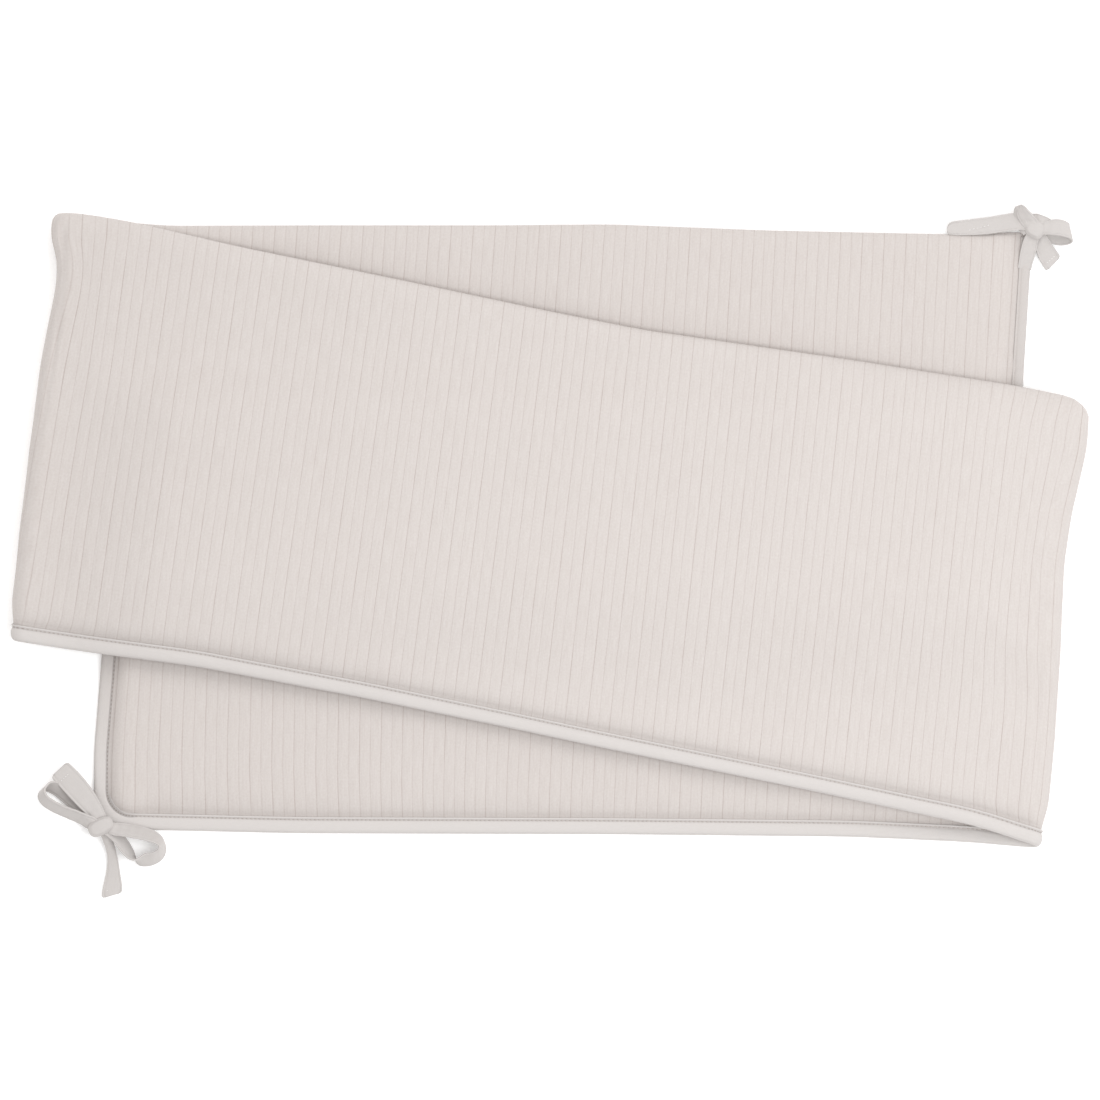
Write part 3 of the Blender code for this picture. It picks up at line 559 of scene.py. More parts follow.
def makeBinding(material):
    # The outline carried along the bound edge as a closed tube. Its height gets soft waves on
    # the roll, a row of cosine dips under the stitches, and a thin dip where its ends meet.
    route = bindingRoute(binding["step"])
    outline, inner = bindingProfile()
    wall = np.array([(-binding["width"], -inner), (0.0, -inner), (0.0, inner)])
    section = np.concatenate([outline, wall])
    out, lift = section[:, 0], section[:, 1]
    here = distanceAlong(route[:, :2])
    shown = np.where(out < 0, out * tapeShare(here)[:, None], out)
    along = route[:, :1] + shown * route[:, 2:3]
    across = route[:, 1:2] + shown * route[:, 3:4]
    outer = np.arange(len(section)) < len(outline)
    sense = np.sign(lift) * outer
    puff = sum(high * waves(here, here * 0, size, seed) for high, size, seed in binding["puffs"])
    onRoll = hill(out, binding["puffAt"], binding["puffWidth"]) * sense * (lift > 0)
    off = lift + puff[:, None] * onRoll[None, :]
    holes = binding["holeDepth"] * (0.5 + 0.5 * np.cos(here * 2 * math.pi / binding["stitchPitch"]))
    filled = ease((binding["firstTo"] - here) / binding["firstFades"])
    holes = holes - binding["firstLevel"] * filled
    inGroove = hill(out, -binding["stitchIn"], binding["holeWidth"]) * sense
    off = off - holes[:, None] * inGroove[None, :]
    joinAway = route[:, :1] - binding["joinAt"] + binding["joinLean"] * out
    onSide = route[:, 3:4] > 0.99
    off = off - binding["joinDepth"] * hill(joinAway, 0, binding["joinWidth"]) * onSide * sense
    (startTo, startFades, startShare), (endTo, endFades) = binding["lipStart"], binding["lipEnd"]
    atEnds = ease((here - here[-1] + endTo) / endFades)
    atEnds = atEnds + startShare * ease((startTo - here) / startFades)
    lip = ramp((-out - binding["lipFrom"]) / binding["lipStep"]) * outer
    sunk = np.sign(lift) * np.minimum(np.abs(off), inner + binding["lipLeft"])
    off = off + (sunk - off) * atEnds[:, None] * lip[None, :]
    rings = onTable(along, across, off)
    rings[..., 2] = np.maximum(rings[..., 2], 0.0)
    onFace = out + binding["faceStep"] * np.sign(lift)
    uv = np.stack(np.broadcast_arrays(here[:, None], onFace), axis=-1)
    return newPiece("bindingTape", [closedTube(rings)], material, uv)


def threadBits(starts, ends, normals, width, height, arch):
    # A row of stitches as one mesh: each a bit of thread with six points round at four places
    # along it, thin at its tips and arched in its middle.
    t = np.array([0.0, 0.25, 0.75, 1.0])
    thick = np.array([0.35, 1.0, 1.0, 0.35])
    lift = arch * np.array([-0.6, 1.0, 1.0, -0.6])
    middle = starts[:, None, :] + (ends - starts)[:, None, :] * t[None, :, None]
    middle = middle + normals[:, None, :] * lift[None, :, None]
    run = ends - starts
    run = run / np.linalg.norm(run, axis=1, keepdims=True)
    sideways = np.cross(normals, run)
    angle = np.linspace(0, 2 * math.pi, 6, endpoint=False)
    ring = (sideways[:, None, None, :] * (np.cos(angle) * width / 2)[None, None, :, None]
            + normals[:, None, None, :] * (np.sin(angle) * height / 2)[None, None, :, None])
    points = middle[:, :, None, :] + ring * thick[None, :, None, None]
    onePoints, quads, caps = closedTube(points[0])
    counted = np.arange(len(starts))[:, None, None] * len(onePoints)
    return points.reshape(-1, 3), (quads + counted).reshape(-1, 4), (caps + counted).reshape(-1, 6)


def makeBindingStitches(material):
    # Stitches a pitch apart along the groove, on both faces, each between two places on the tape.
    # Its normal goes from its middle to a place a step further off.
    route = bindingRoute(binding["stitchStep"])
    here = distanceAlong(route[:, :2])
    pitch, margin = binding["stitchPitch"], binding["stitchMargin"]
    centres = np.arange(margin, here[-1] - margin, pitch) + pitch / 2
    reach = pitch * binding["stitchHalf"]

    def placed(at, off):  # the route at this distance, set in from the edge, folded on the table
        spot = np.stack([np.interp(at, here, route[:, k]) for k in range(4)], axis=1)
        into = binding["stitchIn"] * tapeShare(at)
        along, across = (spot[:, :2] - into[:, None] * spot[:, 2:]).T
        return onTable(along, across, np.full(len(at), off))

    rows = []
    for off in (binding["upperStitch"], binding["lowerStitch"]):
        further = off + math.copysign(binding["stitchStep"], off)
        above = placed(centres, further) - placed(centres, off)
        normals = above / np.linalg.norm(above, axis=1, keepdims=True)
        rows.append(threadBits(placed(centres - reach, off), placed(centres + reach, off), normals,
                               *binding["thread"]))
    return newPiece("bindingStitches", rows, material)


# A bow's tapes each have rows of x, y and z from the floor under the knot, width, and bearing and
# lean in degrees. Its knot has a place, three half sizes and a turn. A row of stitches has its
# tape, the distance from its free end and the share across at both ends of the row, and a count.
leftBow = {
    "place": (-0.3143, -0.1934),
    "flat": (0.013, 0.32),  # the pair of ties, end to end
    "knot": ((-0.0004, -0.0004, 0.0098), (0.0094, 0.0057, 0.0044), 27),
    "stitches": [("upperEnd", (0.0072, -0.62), (0.0072, 0.35), 4),
                 ("lowerEnd", (0.0042, -0.6), (0.0042, 0.6), 5)],
    "upperEnd": [
        (0.001, 0.002, 0.0095, 0.009, 41, 0), (-0.004, 0.0098, 0.0098, 0.012, 41, 0),
        (-0.0114, 0.0194, 0.0096, 0.0155, 41, 0), (-0.0203, 0.0298, 0.0082, 0.0168, 42, 0),
        (-0.0298, 0.0398, 0.0062, 0.016, 43, 0)],
    "leftLoop": [
        (-0.002, -0.001, 0.0098, 0.008, 58, 10), (-0.008, 0.0022, 0.0096, 0.011, 58, 32),
        (-0.0159, 0.0061, 0.0078, 0.013, 58, 52), (-0.0296, 0.0117, 0.0068, 0.014, 58, 58),
        (-0.0392, 0.0174, 0.0067, 0.014, 52, 58), (-0.042, 0.0234, 0.0064, 0.013, 46, 55),
        (-0.0382, 0.0278, 0.0052, 0.012, 46, 42), (-0.031, 0.0258, 0.0044, 0.012, 50, 34),
        (-0.0225, 0.0192, 0.0046, 0.012, 52, 30), (-0.0127, 0.0105, 0.0068, 0.01, 52, 20),
        (-0.003, 0.0015, 0.0092, 0.008, 52, 10)],
    "rightLoop": [
        (0.002, -0.001, 0.0098, 0.008, -80, 0), (0.0085, -0.002, 0.0106, 0.01, -82, 25),
        (0.0186, -0.003, 0.011, 0.013, -84, 45), (0.03, -0.0054, 0.0104, 0.014, -95, 52),
        (0.0385, -0.0088, 0.009, 0.014, -120, 62), (0.0424, -0.0138, 0.008, 0.014, -165, 74),
        (0.0412, -0.019, 0.0078, 0.014, -215, 64), (0.0365, -0.0226, 0.0076, 0.014, -245, 54),
        (0.0304, -0.0238, 0.0074, 0.014, -272, 50), (0.0254, -0.0242, 0.007, 0.0135, -288, 72),
        (0.0222, -0.0222, 0.0072, 0.0128, -300, 105), (0.0165, -0.015, 0.008, 0.0115, -310, 138),
        (0.0101, -0.0068, 0.009, 0.0092, -312, 158), (0.003, -0.0018, 0.0096, 0.008, -312, 175)],
    "lowerEnd": [
        (0.0005, -0.001, 0.009, 0.007, 12, 0), (0.0026, -0.006, 0.0074, 0.0065, 10, 12),
        (0.0052, -0.013, 0.0046, 0.0068, 8, 14), (0.0073, -0.0215, 0.003, 0.0072, 6, 10),
        (0.0078, -0.0322, 0.002, 0.0098, 5, 6), (0.0073, -0.0438, 0.0015, 0.0142, 10, 0),
        (0.007, -0.049, 0.0013, 0.0148, 16, 0)],
}
rightBow = {
    "place": (0.3396, 0.2241),
    "flat": (0.013, 0.25),
    "knot": ((0.0006, 0.0012, 0.0086), (0.0072, 0.0066, 0.0046), -30),
    "stitches": [("alongEnd", (0.015, 0.42), (0.0305, -0.02), 6),
                 ("cornerEnd", (0.004, -0.55), (0.004, 0.6), 4)],
    "alongEnd": [
        (0.0, 0.001, 0.008, 0.008, -88, 0), (-0.008, 0.0058, 0.0082, 0.012, -84, 16),
        (-0.0143, 0.0059, 0.0084, 0.0135, -85, 22), (-0.025, 0.0044, 0.0078, 0.0132, -87, 24),
        (-0.0357, 0.0029, 0.0074, 0.013, -88, 24), (-0.0521, 0.0016, 0.0066, 0.0112, -90, 20),
        (-0.058, 0.0012, 0.0062, 0.0098, -91, 18), (-0.0612, 0.0004, 0.006, 0.007, -92, 16)],
    "backBand": [
        (-0.005, 0.008, 0.0082, 0.006, 85, 0), (0.001, 0.0082, 0.0096, 0.0065, 80, -8),
        (0.0062, 0.0066, 0.0102, 0.0066, 70, -12), (0.0098, 0.0048, 0.0096, 0.006, 60, -12),
        (0.0108, 0.0026, 0.0078, 0.005, 50, -10)],
    "standingLoop": [
        (0.001, -0.001, 0.0096, 0.008, 32, 10), (-0.003, 0.0046, 0.0118, 0.011, 28, 20),
        (-0.0072, 0.01, 0.0132, 0.0112, 24, 34), (-0.0098, 0.015, 0.0134, 0.0086, 22, 46),
        (-0.0112, 0.0168, 0.0122, 0.007, 20, 58), (-0.0118, 0.014, 0.0106, 0.0082, 16, 52),
        (-0.0104, 0.0088, 0.0094, 0.01, 12, 42), (-0.0086, 0.003, 0.009, 0.0095, 14, 34),
        (-0.004, -0.002, 0.0084, 0.008, 20, 20)],
    "rightLoop": [
        (0.0005, 0.0008, 0.0098, 0.008, -85, 0), (0.0071, 0.0015, 0.0114, 0.0095, -82, 8),
        (0.0157, 0.0019, 0.0124, 0.0118, -82, 10), (0.0215, 0.0008, 0.0116, 0.0124, -80, 10),
        (0.025, -0.001, 0.0086, 0.0126, -78, 10), (0.0238, -0.0034, 0.0048, 0.0126, -76, 6),
        (0.018, -0.0048, 0.0034, 0.012, -78, 4), (0.011, -0.004, 0.004, 0.011, -80, 2),
        (0.001, -0.001, 0.0072, 0.008, -85, 0)],
    "cornerEnd": [
        (0.0, 0.0, 0.008, 0.0085, 20, 0), (0.0043, -0.0064, 0.0066, 0.0105, 24, 6),
        (0.008, -0.0148, 0.0042, 0.013, 34, 6), (0.0136, -0.0236, 0.0019, 0.0146, 46, 0)],
    "sewnEnd": [
        (0.0, 0.0, 0.0092, 0.008, -4, 0), (-0.0016, -0.0045, 0.0084, 0.0095, -14, 4),
        (-0.0032, -0.01, 0.0072, 0.0108, -18, 4), (-0.0047, -0.016, 0.006, 0.0108, -16, 0),
        (-0.006, -0.0218, 0.005, 0.01, -12, 0), (-0.007, -0.027, 0.0038, 0.0096, -9, 0)],
}
tape = {
    "cloth": 0.0013,
    "heldUp": 0.0002,  # the least height over the floor
    "steps": 14, "fineSteps": 40,  # points from one row to the next, and the same for stitches
    "hem": 0.0055, "longHem": 0.0092, "hemShare": 0.55, "hemStep": 0.0006,
    "cornerIn": 0.002, "cornerRun": 0.0022,  # how its free end's corners are rounded
    "tipRun": 0.0004, "tipShare": 0.15,  # and its tip thinned
    "ripple": 0.00035, "rippleLength": 0.009, "rippleTurn": 2.2, "rippleSlant": 300,
    "rippleLeast": 0.35, "rippleMore": 1.6,  # the share of it far from the knot, and more near it
    "nearKnot": 0.01, "pleat": 0.0006, "pleatTurn": 6.5,
    "profile": [  # share of half the width, share of half the thickness: two rolled, sewn edges
        (-1.0, 0.0), (-0.985, 0.6), (-0.95, 1.05), (-0.88, 1.2), (-0.82, 1.0), (-0.78, 0.66),
        (-0.73, 0.95), (-0.5, 1.0), (-0.2, 1.0), (0.2, 1.0), (0.5, 1.0), (0.73, 0.95), (0.78, 0.66),
        (0.82, 1.0), (0.88, 1.2), (0.95, 1.05), (0.985, 0.6), (1.0, 0.0)],
    "knotRows": (28, 18), "knotTip": 0.08, "knotUv": 0.008,  # points round, and rings of them
    "knotBoxy": 0.75, "knotPleat": 0.07, "knotPleats": 9,
    "thread": (0.00055, 0.00045, 0.00012), "threadUp": 0.56,  # as a share of the cloth
    "threadRun": (0.12, 0.72),  # a stitch's start and end, as shares of its place in the row
}


def curveThrough(rows, steps):
    # A smooth curve through the rows: Catmull-Rom, with steps points between two rows.
    rows = np.array(rows, float)
    before = np.vstack([2 * rows[0] - rows[1], rows[:-2], rows[-2]])[:len(rows) - 1]
    after = np.vstack([rows[2:], 2 * rows[-1] - rows[-2]])
    here, there = rows[:-1], rows[1:]
    t = (np.arange(steps) / steps)[None, :, None]
    before, after, here, there = (a[:, None, :] for a in (before, after, here, there))
    curve = 0.5 * (2 * here + (there - before) * t
                   + (2 * before - 5 * here + 4 * there - after) * t * t
                   + (3 * here - before - 3 * there + after) * t**3)
    return np.vstack([curve.reshape(-1, rows.shape[1]), rows[-1]])


def tapeFrame(rows, place, steps):
    # A tape's curve, its middle line, the distance along it, its width's direction from bearing
    # and lean, and its face's direction, square to the middle line and the width.
    rows = curveThrough(rows, steps)
    middle = rows[:, :3] + np.array([*place, 0.0])
    bearing, lean = np.radians(rows[:, 4]), np.radians(rows[:, 5])
    across = [np.cos(bearing) * np.cos(lean), np.sin(bearing) * np.cos(lean), np.sin(lean)]
    across = np.stack(across, axis=1)
    face = np.cross(np.gradient(middle, axis=0), across)
    face /= np.linalg.norm(face, axis=1)[:, None]
    return rows, middle, distanceAlong(middle), across, face


def tapeSurface(rows, place, freeEnd, hem):
    # A soft flat tape: its profile carried along the curve, with a ripple of two sines and pleats
    # that die away from the knot. The corners of a free end are rounded by a quarter circle, and
    # its last few millimetres are thicker, as they are turned back in a hem.
    rows, middle, here, across, face = tapeFrame(rows, place, tape["steps"])
    profile = np.array(tape["profile"])
    wide = np.concatenate([profile[:, 0], profile[-2:0:-1, 0]])
    tall = np.concatenate([profile[:, 1], -profile[-2:0:-1, 1]])
    left = here[-1] - here
    reach = rows[:, 3] / 2
    thick = np.full(len(here), tape["cloth"] / 2)
    if freeEnd:
        corner = ramp(1 - left / tape["cornerRun"])
        reach = reach - tape["cornerIn"] * (1 - np.sqrt(1 - corner**2))
        thick = thick * (1 + tape["hemShare"] * ease((hem - left) / tape["hemStep"]))
        thick = thick * np.sqrt(ramp(left / tape["tipRun"] + tape["tipShare"]))
    ripple = tape["ripple"] * np.sin(here * 2 * math.pi / tape["rippleLength"])[:, None]
    ripple = ripple * np.sin(wide * tape["rippleTurn"] + here[:, None] * tape["rippleSlant"])
    nearKnot = np.exp(-here / tape["nearKnot"])[:, None]
    bend = ripple * (tape["rippleLeast"] + tape["rippleMore"] * nearKnot)
    bend = bend + tape["pleat"] * nearKnot * np.cos(wide * tape["pleatTurn"])
    sideways, upwards = reach[:, None] * wide, thick[:, None] * tall + bend
    rings = (middle[:, None, :] + across[:, None, :] * sideways[..., None]
             + face[:, None, :] * upwards[..., None])
    uv = np.stack(np.broadcast_arrays(here[:, None], sideways), axis=-1)
    return rings, uv


def boxy(value):  # a sine or cosine made squarer: its size to the power of knotBoxy
    return np.sign(value) * np.abs(value) ** tape["knotBoxy"]


def knotSurface(bow):
    # A pleated, boxy ball: sine and cosine of two angles, times the half sizes, then turned.
    (x, y, z), sizes, turn = bow["knot"]
    turn = math.radians(turn)
    (columns, rows), tip = tape["knotRows"], tape["knotTip"]
    around, up = np.meshgrid(np.linspace(0, 2 * math.pi, columns, endpoint=False),
                             np.linspace(tip, math.pi - tip, rows), indexing="xy")
    pleats = 1 + tape["knotPleat"] * np.cos(up * tape["knotPleats"]) * np.sin(up)
    ball = np.stack([boxy(np.sin(up) * np.cos(around)), boxy(np.sin(up) * np.sin(around)) * pleats,
                     boxy(np.cos(up)) * pleats], axis=-1) * sizes
    sine, cosine = math.sin(turn), math.cos(turn)
    spin = np.array([[cosine, -sine, 0], [sine, cosine, 0], [0, 0, 1]])
    ball = ball @ spin.T + np.array([bow["place"][0] + x, bow["place"][1] + y, z])
    return ball, np.stack([around, up], axis=-1) * tape["knotUv"]


def makeBow(name, bow, material):
    # All tapes of a bow and its knot, as one piece, held just above the floor.
    meshes, uvs = [], []
    for part, rows in bow.items():
        if part in ("place", "flat", "knot", "stitches"):
            continue
        freeEnd = part.endswith("End") and part != "sewnEnd"
        hem = tape["longHem"] if part == "alongEnd" else tape["hem"]
        rings, uv = tapeSurface(rows, bow["place"], freeEnd, hem)
        meshes.append(closedTube(rings))
        uvs.append(uv.reshape(-1, 2))
    ball, uv = knotSurface(bow)
    meshes.append(closedTube(ball, turned=True))
    uvs.append(uv.reshape(-1, 2))
    for points, quads, caps in meshes:
        points[:, 2] = np.maximum(points[:, 2], tape["heldUp"])
    return newPiece(name, meshes, material, np.concatenate(uvs))


def makeTieStitches(name, bow, material):
    # Short threads in a row on the upper face of a tape, each between two places on it.
    meshes = []
    for part, first, last, count in bow["stitches"]:
        curve, middle, here, across, face = tapeFrame(bow[part], bow["place"], tape["fineSteps"])
        face = face * np.sign(face[:, 2:])
        t = (np.arange(count)[:, None] + np.array(tape["threadRun"])) / count
        place = np.array(first) + t[..., None] * (np.array(last) - np.array(first))
        at, share = here[-1] - place[..., 0], place[..., 1]

        def there(values):  # x, y and z of these rows at the distances along the tape
            return np.stack([np.interp(at, here, values[:, k]) for k in range(3)], axis=-1)

        width = np.interp(at, here, curve[:, 3])[..., None]
        up = there(face)
        sideways = there(across) * width / 2 * share[..., None]
        spots = there(middle) + sideways + up * (tape["cloth"] * tape["threadUp"])
        meshes.append(threadBits(spots[:, 0], spots[:, 1], up.mean(axis=1), *tape["thread"]))
    return newPiece(name, meshes, material)


def addNode(tree, kind, settings=(), values=()):
    # A node with its settings; a value is a link where it is a socket, and a number elsewhere.
    node = tree.nodes.new(kind)
    for name, value in dict(settings).items():
        setattr(node, name, value)
    for socket, value in dict(values).items():
        if isinstance(value, bpy.types.NodeSocket):
            tree.links.new(value, node.inputs[socket])
        else:
            node.inputs[socket].default_value = value
    return node


def addMath(tree, operation, *values):  # the named sum of one to three values
    node = addNode(tree, "ShaderNodeMath", {"operation": operation}, dict(enumerate(values)))
    return node.outputs[0]


def addRamp(tree, value, low, high, atLow, atHigh, kind="LINEAR"):
    # From atLow to atHigh as the value goes from low to high, held outside them.
    return addNode(tree, "ShaderNodeMapRange", {"interpolation_type": kind},
                   {0: value, 1: low, 2: high, 3: atLow, 4: atHigh}).outputs[0]


def addColours(tree, share, low, high, first, last):  # from the first colour to the last, in a line
    return addNode(tree, "ShaderNodeMapRange", {"data_type": "FLOAT_VECTOR"}, {
        6: share, 7: (low,) * 3, 8: (high,) * 3, 9: tuple(first), 10: tuple(last)}).outputs[1]


def band(tree, value, width):  # 1 where the value is nought, falling softly to 0 at the width
    return addRamp(tree, addMath(tree, "ABSOLUTE", value), 0.0, width, 1.0, 0.0, "SMOOTHSTEP")


def addNoise(tree, place, scale, detail):  # soft random grain, 0 to 1, at the place times the scale
    return addNode(tree, "ShaderNodeTexNoise", (),
                   {"Vector": place, "Scale": scale, "Detail": detail}).outputs[0]


def knitNoise(tree, x, y, fine, detail=3.0):  # grain, as fine as the two numbers along x and y
    along, across = addMath(tree, "MULTIPLY", x, fine[0]), addMath(tree, "MULTIPLY", y, fine[1])
    spot = addNode(tree, "ShaderNodeCombineXYZ", (), {0: along, 1: across}).outputs[0]
    return addNoise(tree, spot, 1.0, detail)


def addShades(tree, shade, *pairs):  # the shade plus (noise - 0.5) * weight for each pair
    for noise, weight in pairs:
        away = addMath(tree, "SUBTRACT", noise, 0.5)
        shade = addMath(tree, "MULTIPLY_ADD", away, weight, shade)
    return shade


def addBump(tree, shader, height, strength, distance):  # tilts the normal by a height's slope
    bump = addNode(tree, "ShaderNodeBump", (),
                   {"Strength": strength, "Distance": distance, "Height": height})
    tree.links.new(bump.outputs[0], shader.inputs["Normal"])


def clothBase(name, roughness):  # a matt cloth with a little sheen, and its two places on the cloth
    material = bpy.data.materials.new(name)
    material.use_nodes = True
    tree = material.node_tree
    shader = tree.nodes["Principled BSDF"]
    shader.inputs["Roughness"].default_value = roughness
    shader.inputs["Specular IOR Level"].default_value = 0.2
    shader.inputs["Sheen Weight"].default_value = 0.12
    shader.inputs["Sheen Roughness"].default_value = 0.6
    spot = addNode(tree, "ShaderNodeUVMap", {"uv_map": "cloth"}).outputs[0]
    apart = addNode(tree, "ShaderNodeSeparateXYZ", (), {0: spot})
    return material, tree, shader, apart.outputs[0], apart.outputs[1]


jerseyFinish = {
    "roughness": 0.92,
    "colour": (0.572, 0.53, 0.508),
    "line": (0.43, 0.37, 0.345),  # painted shade down in the groove of a drop-needle line
    "strong": 0.7, "weak": 0.4,  # how far a line's colour goes towards it
    "lineWidth": 0.06,  # half the line, as a share of the pitch
    "lowerLayersShade": 0.06,  # painted shade: the face that shows on the lower two layers is this much nearer to the line's colour
    "wale": 0.00127, "waleShade": 0.012,
    "uneven": (130.0, 26.0), "unevenShare": 2.0, "unevenBase": -0.05,
    "streak": (800.0, 70.0), "streakShade": 0.5,
    "grain": (850.0, 650.0), "grainShade": 0.6,
    "wander": (16.0, 9.0), "wanderShade": 0.12,
    "paler": 0.3, "palest": -0.2,  # how far a thread's colour may go away from the line's
    "grainHeight": 0.6, "streakHeight": 0.8, "waleHeight": 0.1, "lineHeight": -0.8,
    "bump": (0.35, 0.00022),  # strength and height
}


def makeJersey():
    # Ribbed jersey: a band in the middle of each pitch, strong and weak by turns, goes towards the
    # line's colour by an uneven share: painted shade in the groove of each drop-needle line.
    # Streaks, grain, a slow wander and a sine for the wales vary the rest's tone, and all but the
    # wander make its bump. The face that shows on the lower two layers gets painted shade as well.
    finish = jerseyFinish
    material, tree, shader, x, y = clothBase("ribbedJersey", finish["roughness"])
    count = addMath(tree, "DIVIDE", x, ribs["pitch"])
    away = addMath(tree, "SUBTRACT", addMath(tree, "FRACT", count), 0.5)
    line = band(tree, away, finish["lineWidth"])
    half = addMath(tree, "FRACT", addMath(tree, "MULTIPLY", count, 0.5))
    strong = addMath(tree, "GREATER_THAN", half, 0.5)
    depth = addMath(tree, "MULTIPLY_ADD", strong, finish["strong"] - finish["weak"], finish["weak"])
    uneven = knitNoise(tree, x, y, finish["uneven"])
    uneven = addMath(tree, "MULTIPLY_ADD", uneven, finish["unevenShare"], finish["unevenBase"])
    # painted shade: the band goes towards the line's dark colour in place of the shade in each
    # groove
    grooveShadeShare = addMath(tree, "MULTIPLY", addMath(tree, "MULTIPLY", line, depth), uneven)
    streak = knitNoise(tree, x, y, finish["streak"], 2.0)
    grain = knitNoise(tree, x, y, finish["grain"], 2.0)
    wander = knitNoise(tree, x, y, finish["wander"], 2.0)
    wale = addMath(tree, "SINE", addMath(tree, "MULTIPLY", x, 2 * math.pi / finish["wale"]))
    shade = addShades(tree, 0.0, (streak, finish["streakShade"]), (grain, finish["grainShade"]),
                      (wander, finish["wanderShade"]))
    shade = addMath(tree, "MULTIPLY_ADD", wale, finish["waleShade"], shade)
    # painted shade: the second face, which shows on the lower two layers, goes a little towards the
    # line's colour
    lowerLayersShade = addMath(tree, "LESS_THAN", y, 0.0)
    shade = addMath(tree, "MULTIPLY_ADD", lowerLayersShade, finish["lowerLayersShade"], shade)
    share = addMath(tree, "ADD", grooveShadeShare, shade)
    share = addNode(tree, "ShaderNodeClamp", (), {0: share, 1: finish["palest"], 2: 1.0}).outputs[0]
    base, dark, paler = np.array(finish["colour"]), np.array(finish["line"]), finish["paler"]
    colours = addColours(tree, share, -paler, 1.0, base + (base - dark) * paler, dark)
    tree.links.new(colours, shader.inputs["Base Color"])
    height = addMath(tree, "MULTIPLY", streak, finish["streakHeight"])
    height = addMath(tree, "MULTIPLY_ADD", grain, finish["grainHeight"], height)
    height = addMath(tree, "MULTIPLY_ADD", wale, finish["waleHeight"], height)
    height = addMath(tree, "MULTIPLY_ADD", line, finish["lineHeight"], height)
    addBump(tree, shader, height, *finish["bump"])
    return material


tapeFinish = {
    "roughness": 0.93,
    "colour": (0.592, 0.563, 0.548),
    "dark": (0.47, 0.433, 0.413),
    # painted shade in the stitched groove, darkest between stitches
    "seam": (0.32, 0.255, 0.23),
    "grain": (1300.0, 1300.0), "grainShade": 0.35,
    "streak": (240.0, 900.0), "streakShade": 0.3,
    "baseShade": 0.12,
    "endGrey": 0.4,  # painted shade: the binding's two ends are darker, as grey as the ties, and its long side is paler
    "startShadeTo": (0.14, 0.22), "endGreyFrom": (2.4, 2.46),
    "seamWidth": 0.00062, "seamGaps": 0.42, "seamBase": 0.5,
    "seamFrom": (0.08, 0.14), "seamAtStart": 0.1,
    "grainHeight": 0.7, "bump": (0.45, 0.0002),
    "tieTone": 0.93,  # the ties are this much darker all over
}


def makeTapeCloth(name, tone, endGrey):
    # Smooth jersey: grain and streaks go from its colour to its dark one, and painted shade takes
    # the two ends further towards the dark one. The seam is painted shade: a thin dark line in the
    # groove, on both faces, deeper between stitches by a cosine of the stitches' pitch.
    finish = tapeFinish
    material, tree, shader, x, y = clothBase(name, finish["roughness"])
    grain = knitNoise(tree, x, y, finish["grain"], 1.0)
    streak = knitNoise(tree, x, y, finish["streak"], 2.0)
    share = addShades(tree, finish["baseShade"], (grain, finish["grainShade"]),
                      (streak, finish["streakShade"]))
    # painted shade: the binding's two ends go further towards the dark colour
    if endGrey:
        share = addMath(tree, "ADD", share, addRamp(tree, x, *finish["startShadeTo"], endGrey, 0.0))
        share = addMath(tree, "ADD", share, addRamp(tree, x, *finish["endGreyFrom"], 0.0, endGrey))
    plain, dark = (tone * np.array(finish[key]) for key in ("colour", "dark"))
    colours = addColours(tree, share, 0.0, 1.0, plain, dark)
    faceStep, seamWidth = binding["faceStep"], finish["seamWidth"]
    # painted shade: a thin dark line along the stitched groove on both faces
    upperSeamShade = band(tree, addMath(tree, "SUBTRACT", y, faceStep - binding["stitchIn"]), seamWidth)
    lowerSeamShade = band(tree, addMath(tree, "ADD", y, faceStep + binding["stitchIn"]), seamWidth)
    turns = addMath(tree, "MULTIPLY", x, 2 * math.pi / binding["stitchPitch"])
    gaps = addMath(tree, "COSINE", turns)
    gaps = addMath(tree, "MULTIPLY_ADD", gaps, finish["seamGaps"], finish["seamBase"])
    seamShadeShare = addMath(tree, "MULTIPLY", addMath(tree, "ADD", upperSeamShade, lowerSeamShade), gaps)
    start = addRamp(tree, x, *finish["seamFrom"], finish["seamAtStart"], 1.0)
    mixed = addNode(tree, "ShaderNodeMix", {"data_type": "RGBA"}, {
        "Factor": addMath(tree, "MULTIPLY", seamShadeShare, start), 6: colours, 7: (*finish["seam"], 1)})
    tree.links.new(mixed.outputs[2], shader.inputs["Base Color"])
    height = addMath(tree, "MULTIPLY_ADD", grain, finish["grainHeight"], streak)
    addBump(tree, shader, height, *finish["bump"])
    return material


threadFinish = {  # dark and light colour
    "sewing": ((0.5, 0.45, 0.42), (0.6, 0.56, 0.53)),
    "white": ((0.7, 0.68, 0.66), (0.82, 0.81, 0.8)),
}


def makeThread(name, dark, light):  # sewing thread: noise on Object coordinates, from dark to light
    material = bpy.data.materials.new(name)
    material.use_nodes = True
    tree = material.node_tree
    shader = tree.nodes["Principled BSDF"]
    shader.inputs["Roughness"].default_value = 0.7
    place = addNode(tree, "ShaderNodeTexCoord").outputs["Object"]
    colours = addColours(tree, addNoise(tree, place, 900.0, 1.0), 0.2, 0.8, dark, light)
    tree.links.new(colours, shader.inputs["Base Color"])
    return material


print("materials")
jersey = makeJersey()
bindingJersey = makeTapeCloth("bindingJersey", 1.0, tapeFinish["endGrey"])
tieJersey = makeTapeCloth("tieJersey", tapeFinish["tieTone"], 0)
thread = makeThread("sewingThread", *threadFinish["sewing"])
whiteThread = makeThread("whiteThread", *threadFinish["white"])

print("pad")
bumperPad = makePad(jersey)
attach(bumperPad, "root")
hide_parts("bumper_pad")

print("binding")
bindingTape = makeBinding(bindingJersey)
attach(bindingTape, "root")
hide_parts("binding")
stitches = makeBindingStitches(thread)
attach(stitches, "root")

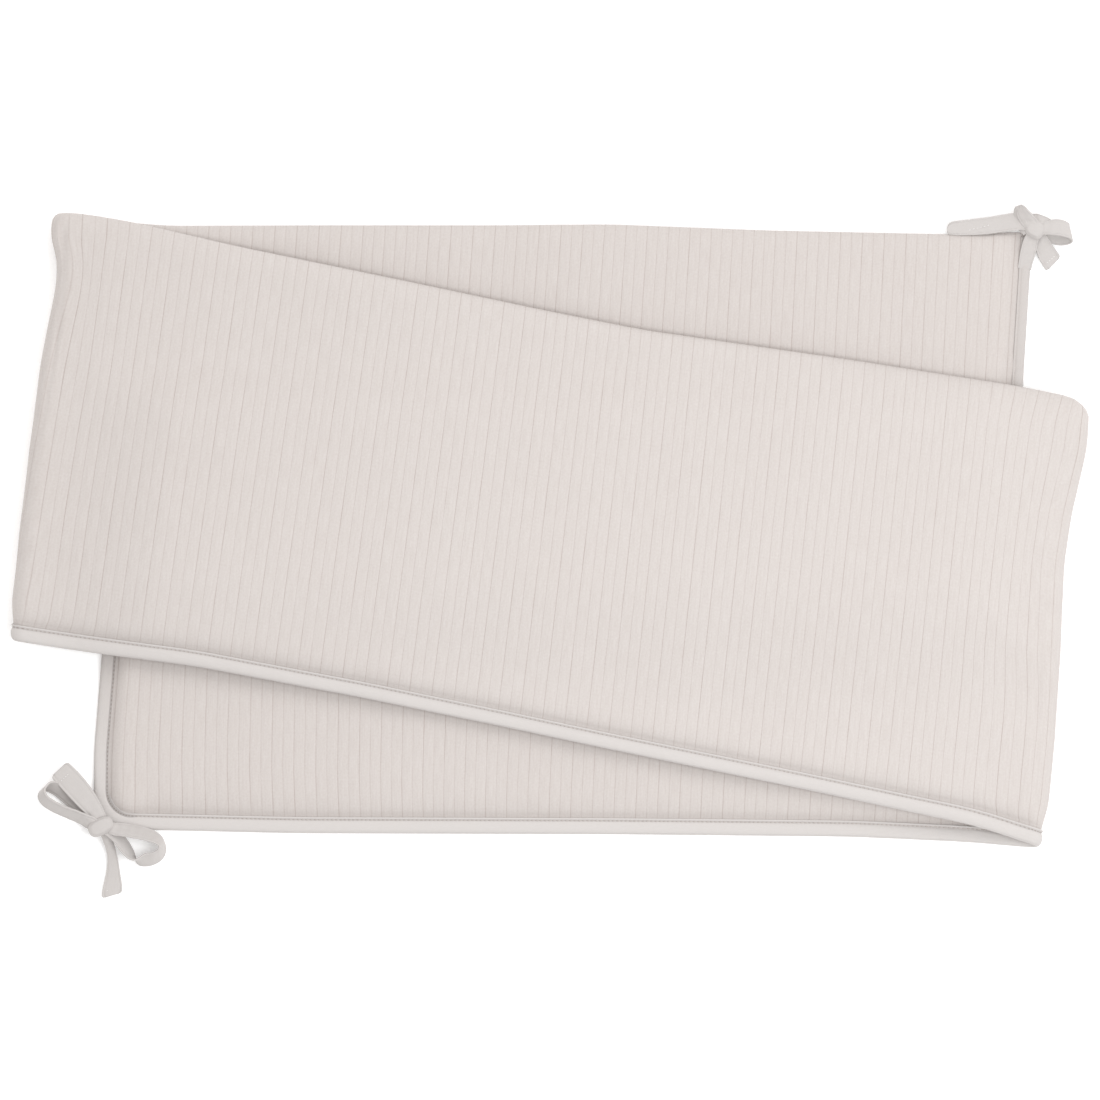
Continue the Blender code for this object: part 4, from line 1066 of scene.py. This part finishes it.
print("bows")
for name, sewnName, node, bow in (("lowerLeftBow", "leftBowStitches", "tie_bow_left", leftBow),
                                  ("upperRightBow", "rightBowStitches", "tie_bow_right", rightBow)):
    ties = makeBow(name, bow, tieJersey)
    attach(ties, "root")
    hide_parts(node)
    sewn = makeTieStitches(sewnName, bow, whiteThread)
    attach(sewn, "root")

studio = {
    "distance": 8.0, "picture": 0.77, "middleHeight": 0.018,
    "sky": (1.0, 0.987, 0.976), "skyStrength": 0.84,
    "floorSize": 6.0, "floorLevel": -0.0006, "floorColour": (0.96, 0.96, 0.96), "floorGlow": 0.2,
    "boxes": [  # name, place, size, power, colour
        ("rightSoftbox", (0.75, -0.3, 1.8), 0.9, 15.9, (0.965, 0.987, 1.0)),
        ("farSoftbox", (0.4, 4.2, 4.8), 3.2, 86.0, (1.0, 0.99, 0.985)),
    ],
}


def makeFloor():  # a wide pale square just under the bumper, glowing a little to stay white
    pale = bpy.data.materials.new("paleFloor")
    pale.use_nodes = True
    shader = pale.node_tree.nodes["Principled BSDF"]
    shader.inputs["Base Color"].default_value = (*studio["floorColour"], 1)
    shader.inputs["Roughness"].default_value = 0.95
    shader.inputs["Emission Color"].default_value = (1, 1, 1, 1)
    shader.inputs["Emission Strength"].default_value = studio["floorGlow"]
    mesh = bpy.data.meshes.new("floor")
    s, z = studio["floorSize"], studio["floorLevel"]
    mesh.from_pydata([(-s, -s, z), (s, -s, z), (s, s, z), (-s, s, z)], [], [(0, 1, 2, 3)])
    mesh.materials.append(pale)
    floor = bpy.data.objects.new("floor", mesh)
    bpy.context.scene.collection.objects.link(floor)


def makeLights():  # an even sky, and square softboxes that look at the middle of the bumper
    world = bpy.data.worlds.new("studioWorld")
    bpy.context.scene.world = world
    world.use_nodes = True
    world.node_tree.nodes["Background"].inputs["Color"].default_value = (*studio["sky"], 1)
    world.node_tree.nodes["Background"].inputs["Strength"].default_value = studio["skyStrength"]
    for name, place, size, power, colour in studio["boxes"]:
        lamp = bpy.data.lights.new(name, "AREA")
        lamp.shape, lamp.size, lamp.energy, lamp.color = "SQUARE", size, power, colour
        light = bpy.data.objects.new(name, lamp)
        bpy.context.scene.collection.objects.link(light)
        light.location = place
        back = np.array(place) / np.linalg.norm(place)
        light.rotation_euler = (math.acos(back[2]), 0, math.atan2(back[1], back[0]) + math.pi / 2)


def makeCamera():  # straight above, its lens so long that the picture is this wide at that distance
    lens = bpy.data.cameras.new("copyCamera")
    camera = bpy.data.objects.new("copyCamera", lens)
    bpy.context.scene.collection.objects.link(camera)
    camera.location = (0, 0, studio["distance"] + studio["middleHeight"])
    lens.sensor_width = 36
    lens.lens = lens.sensor_width * studio["distance"] / studio["picture"]
    lens.clip_end = 50
    bpy.context.scene.camera = camera
    bpy.context.scene.view_settings.view_transform = "Standard"


print("studio")
makeFloor()
makeLights()
makeCamera()
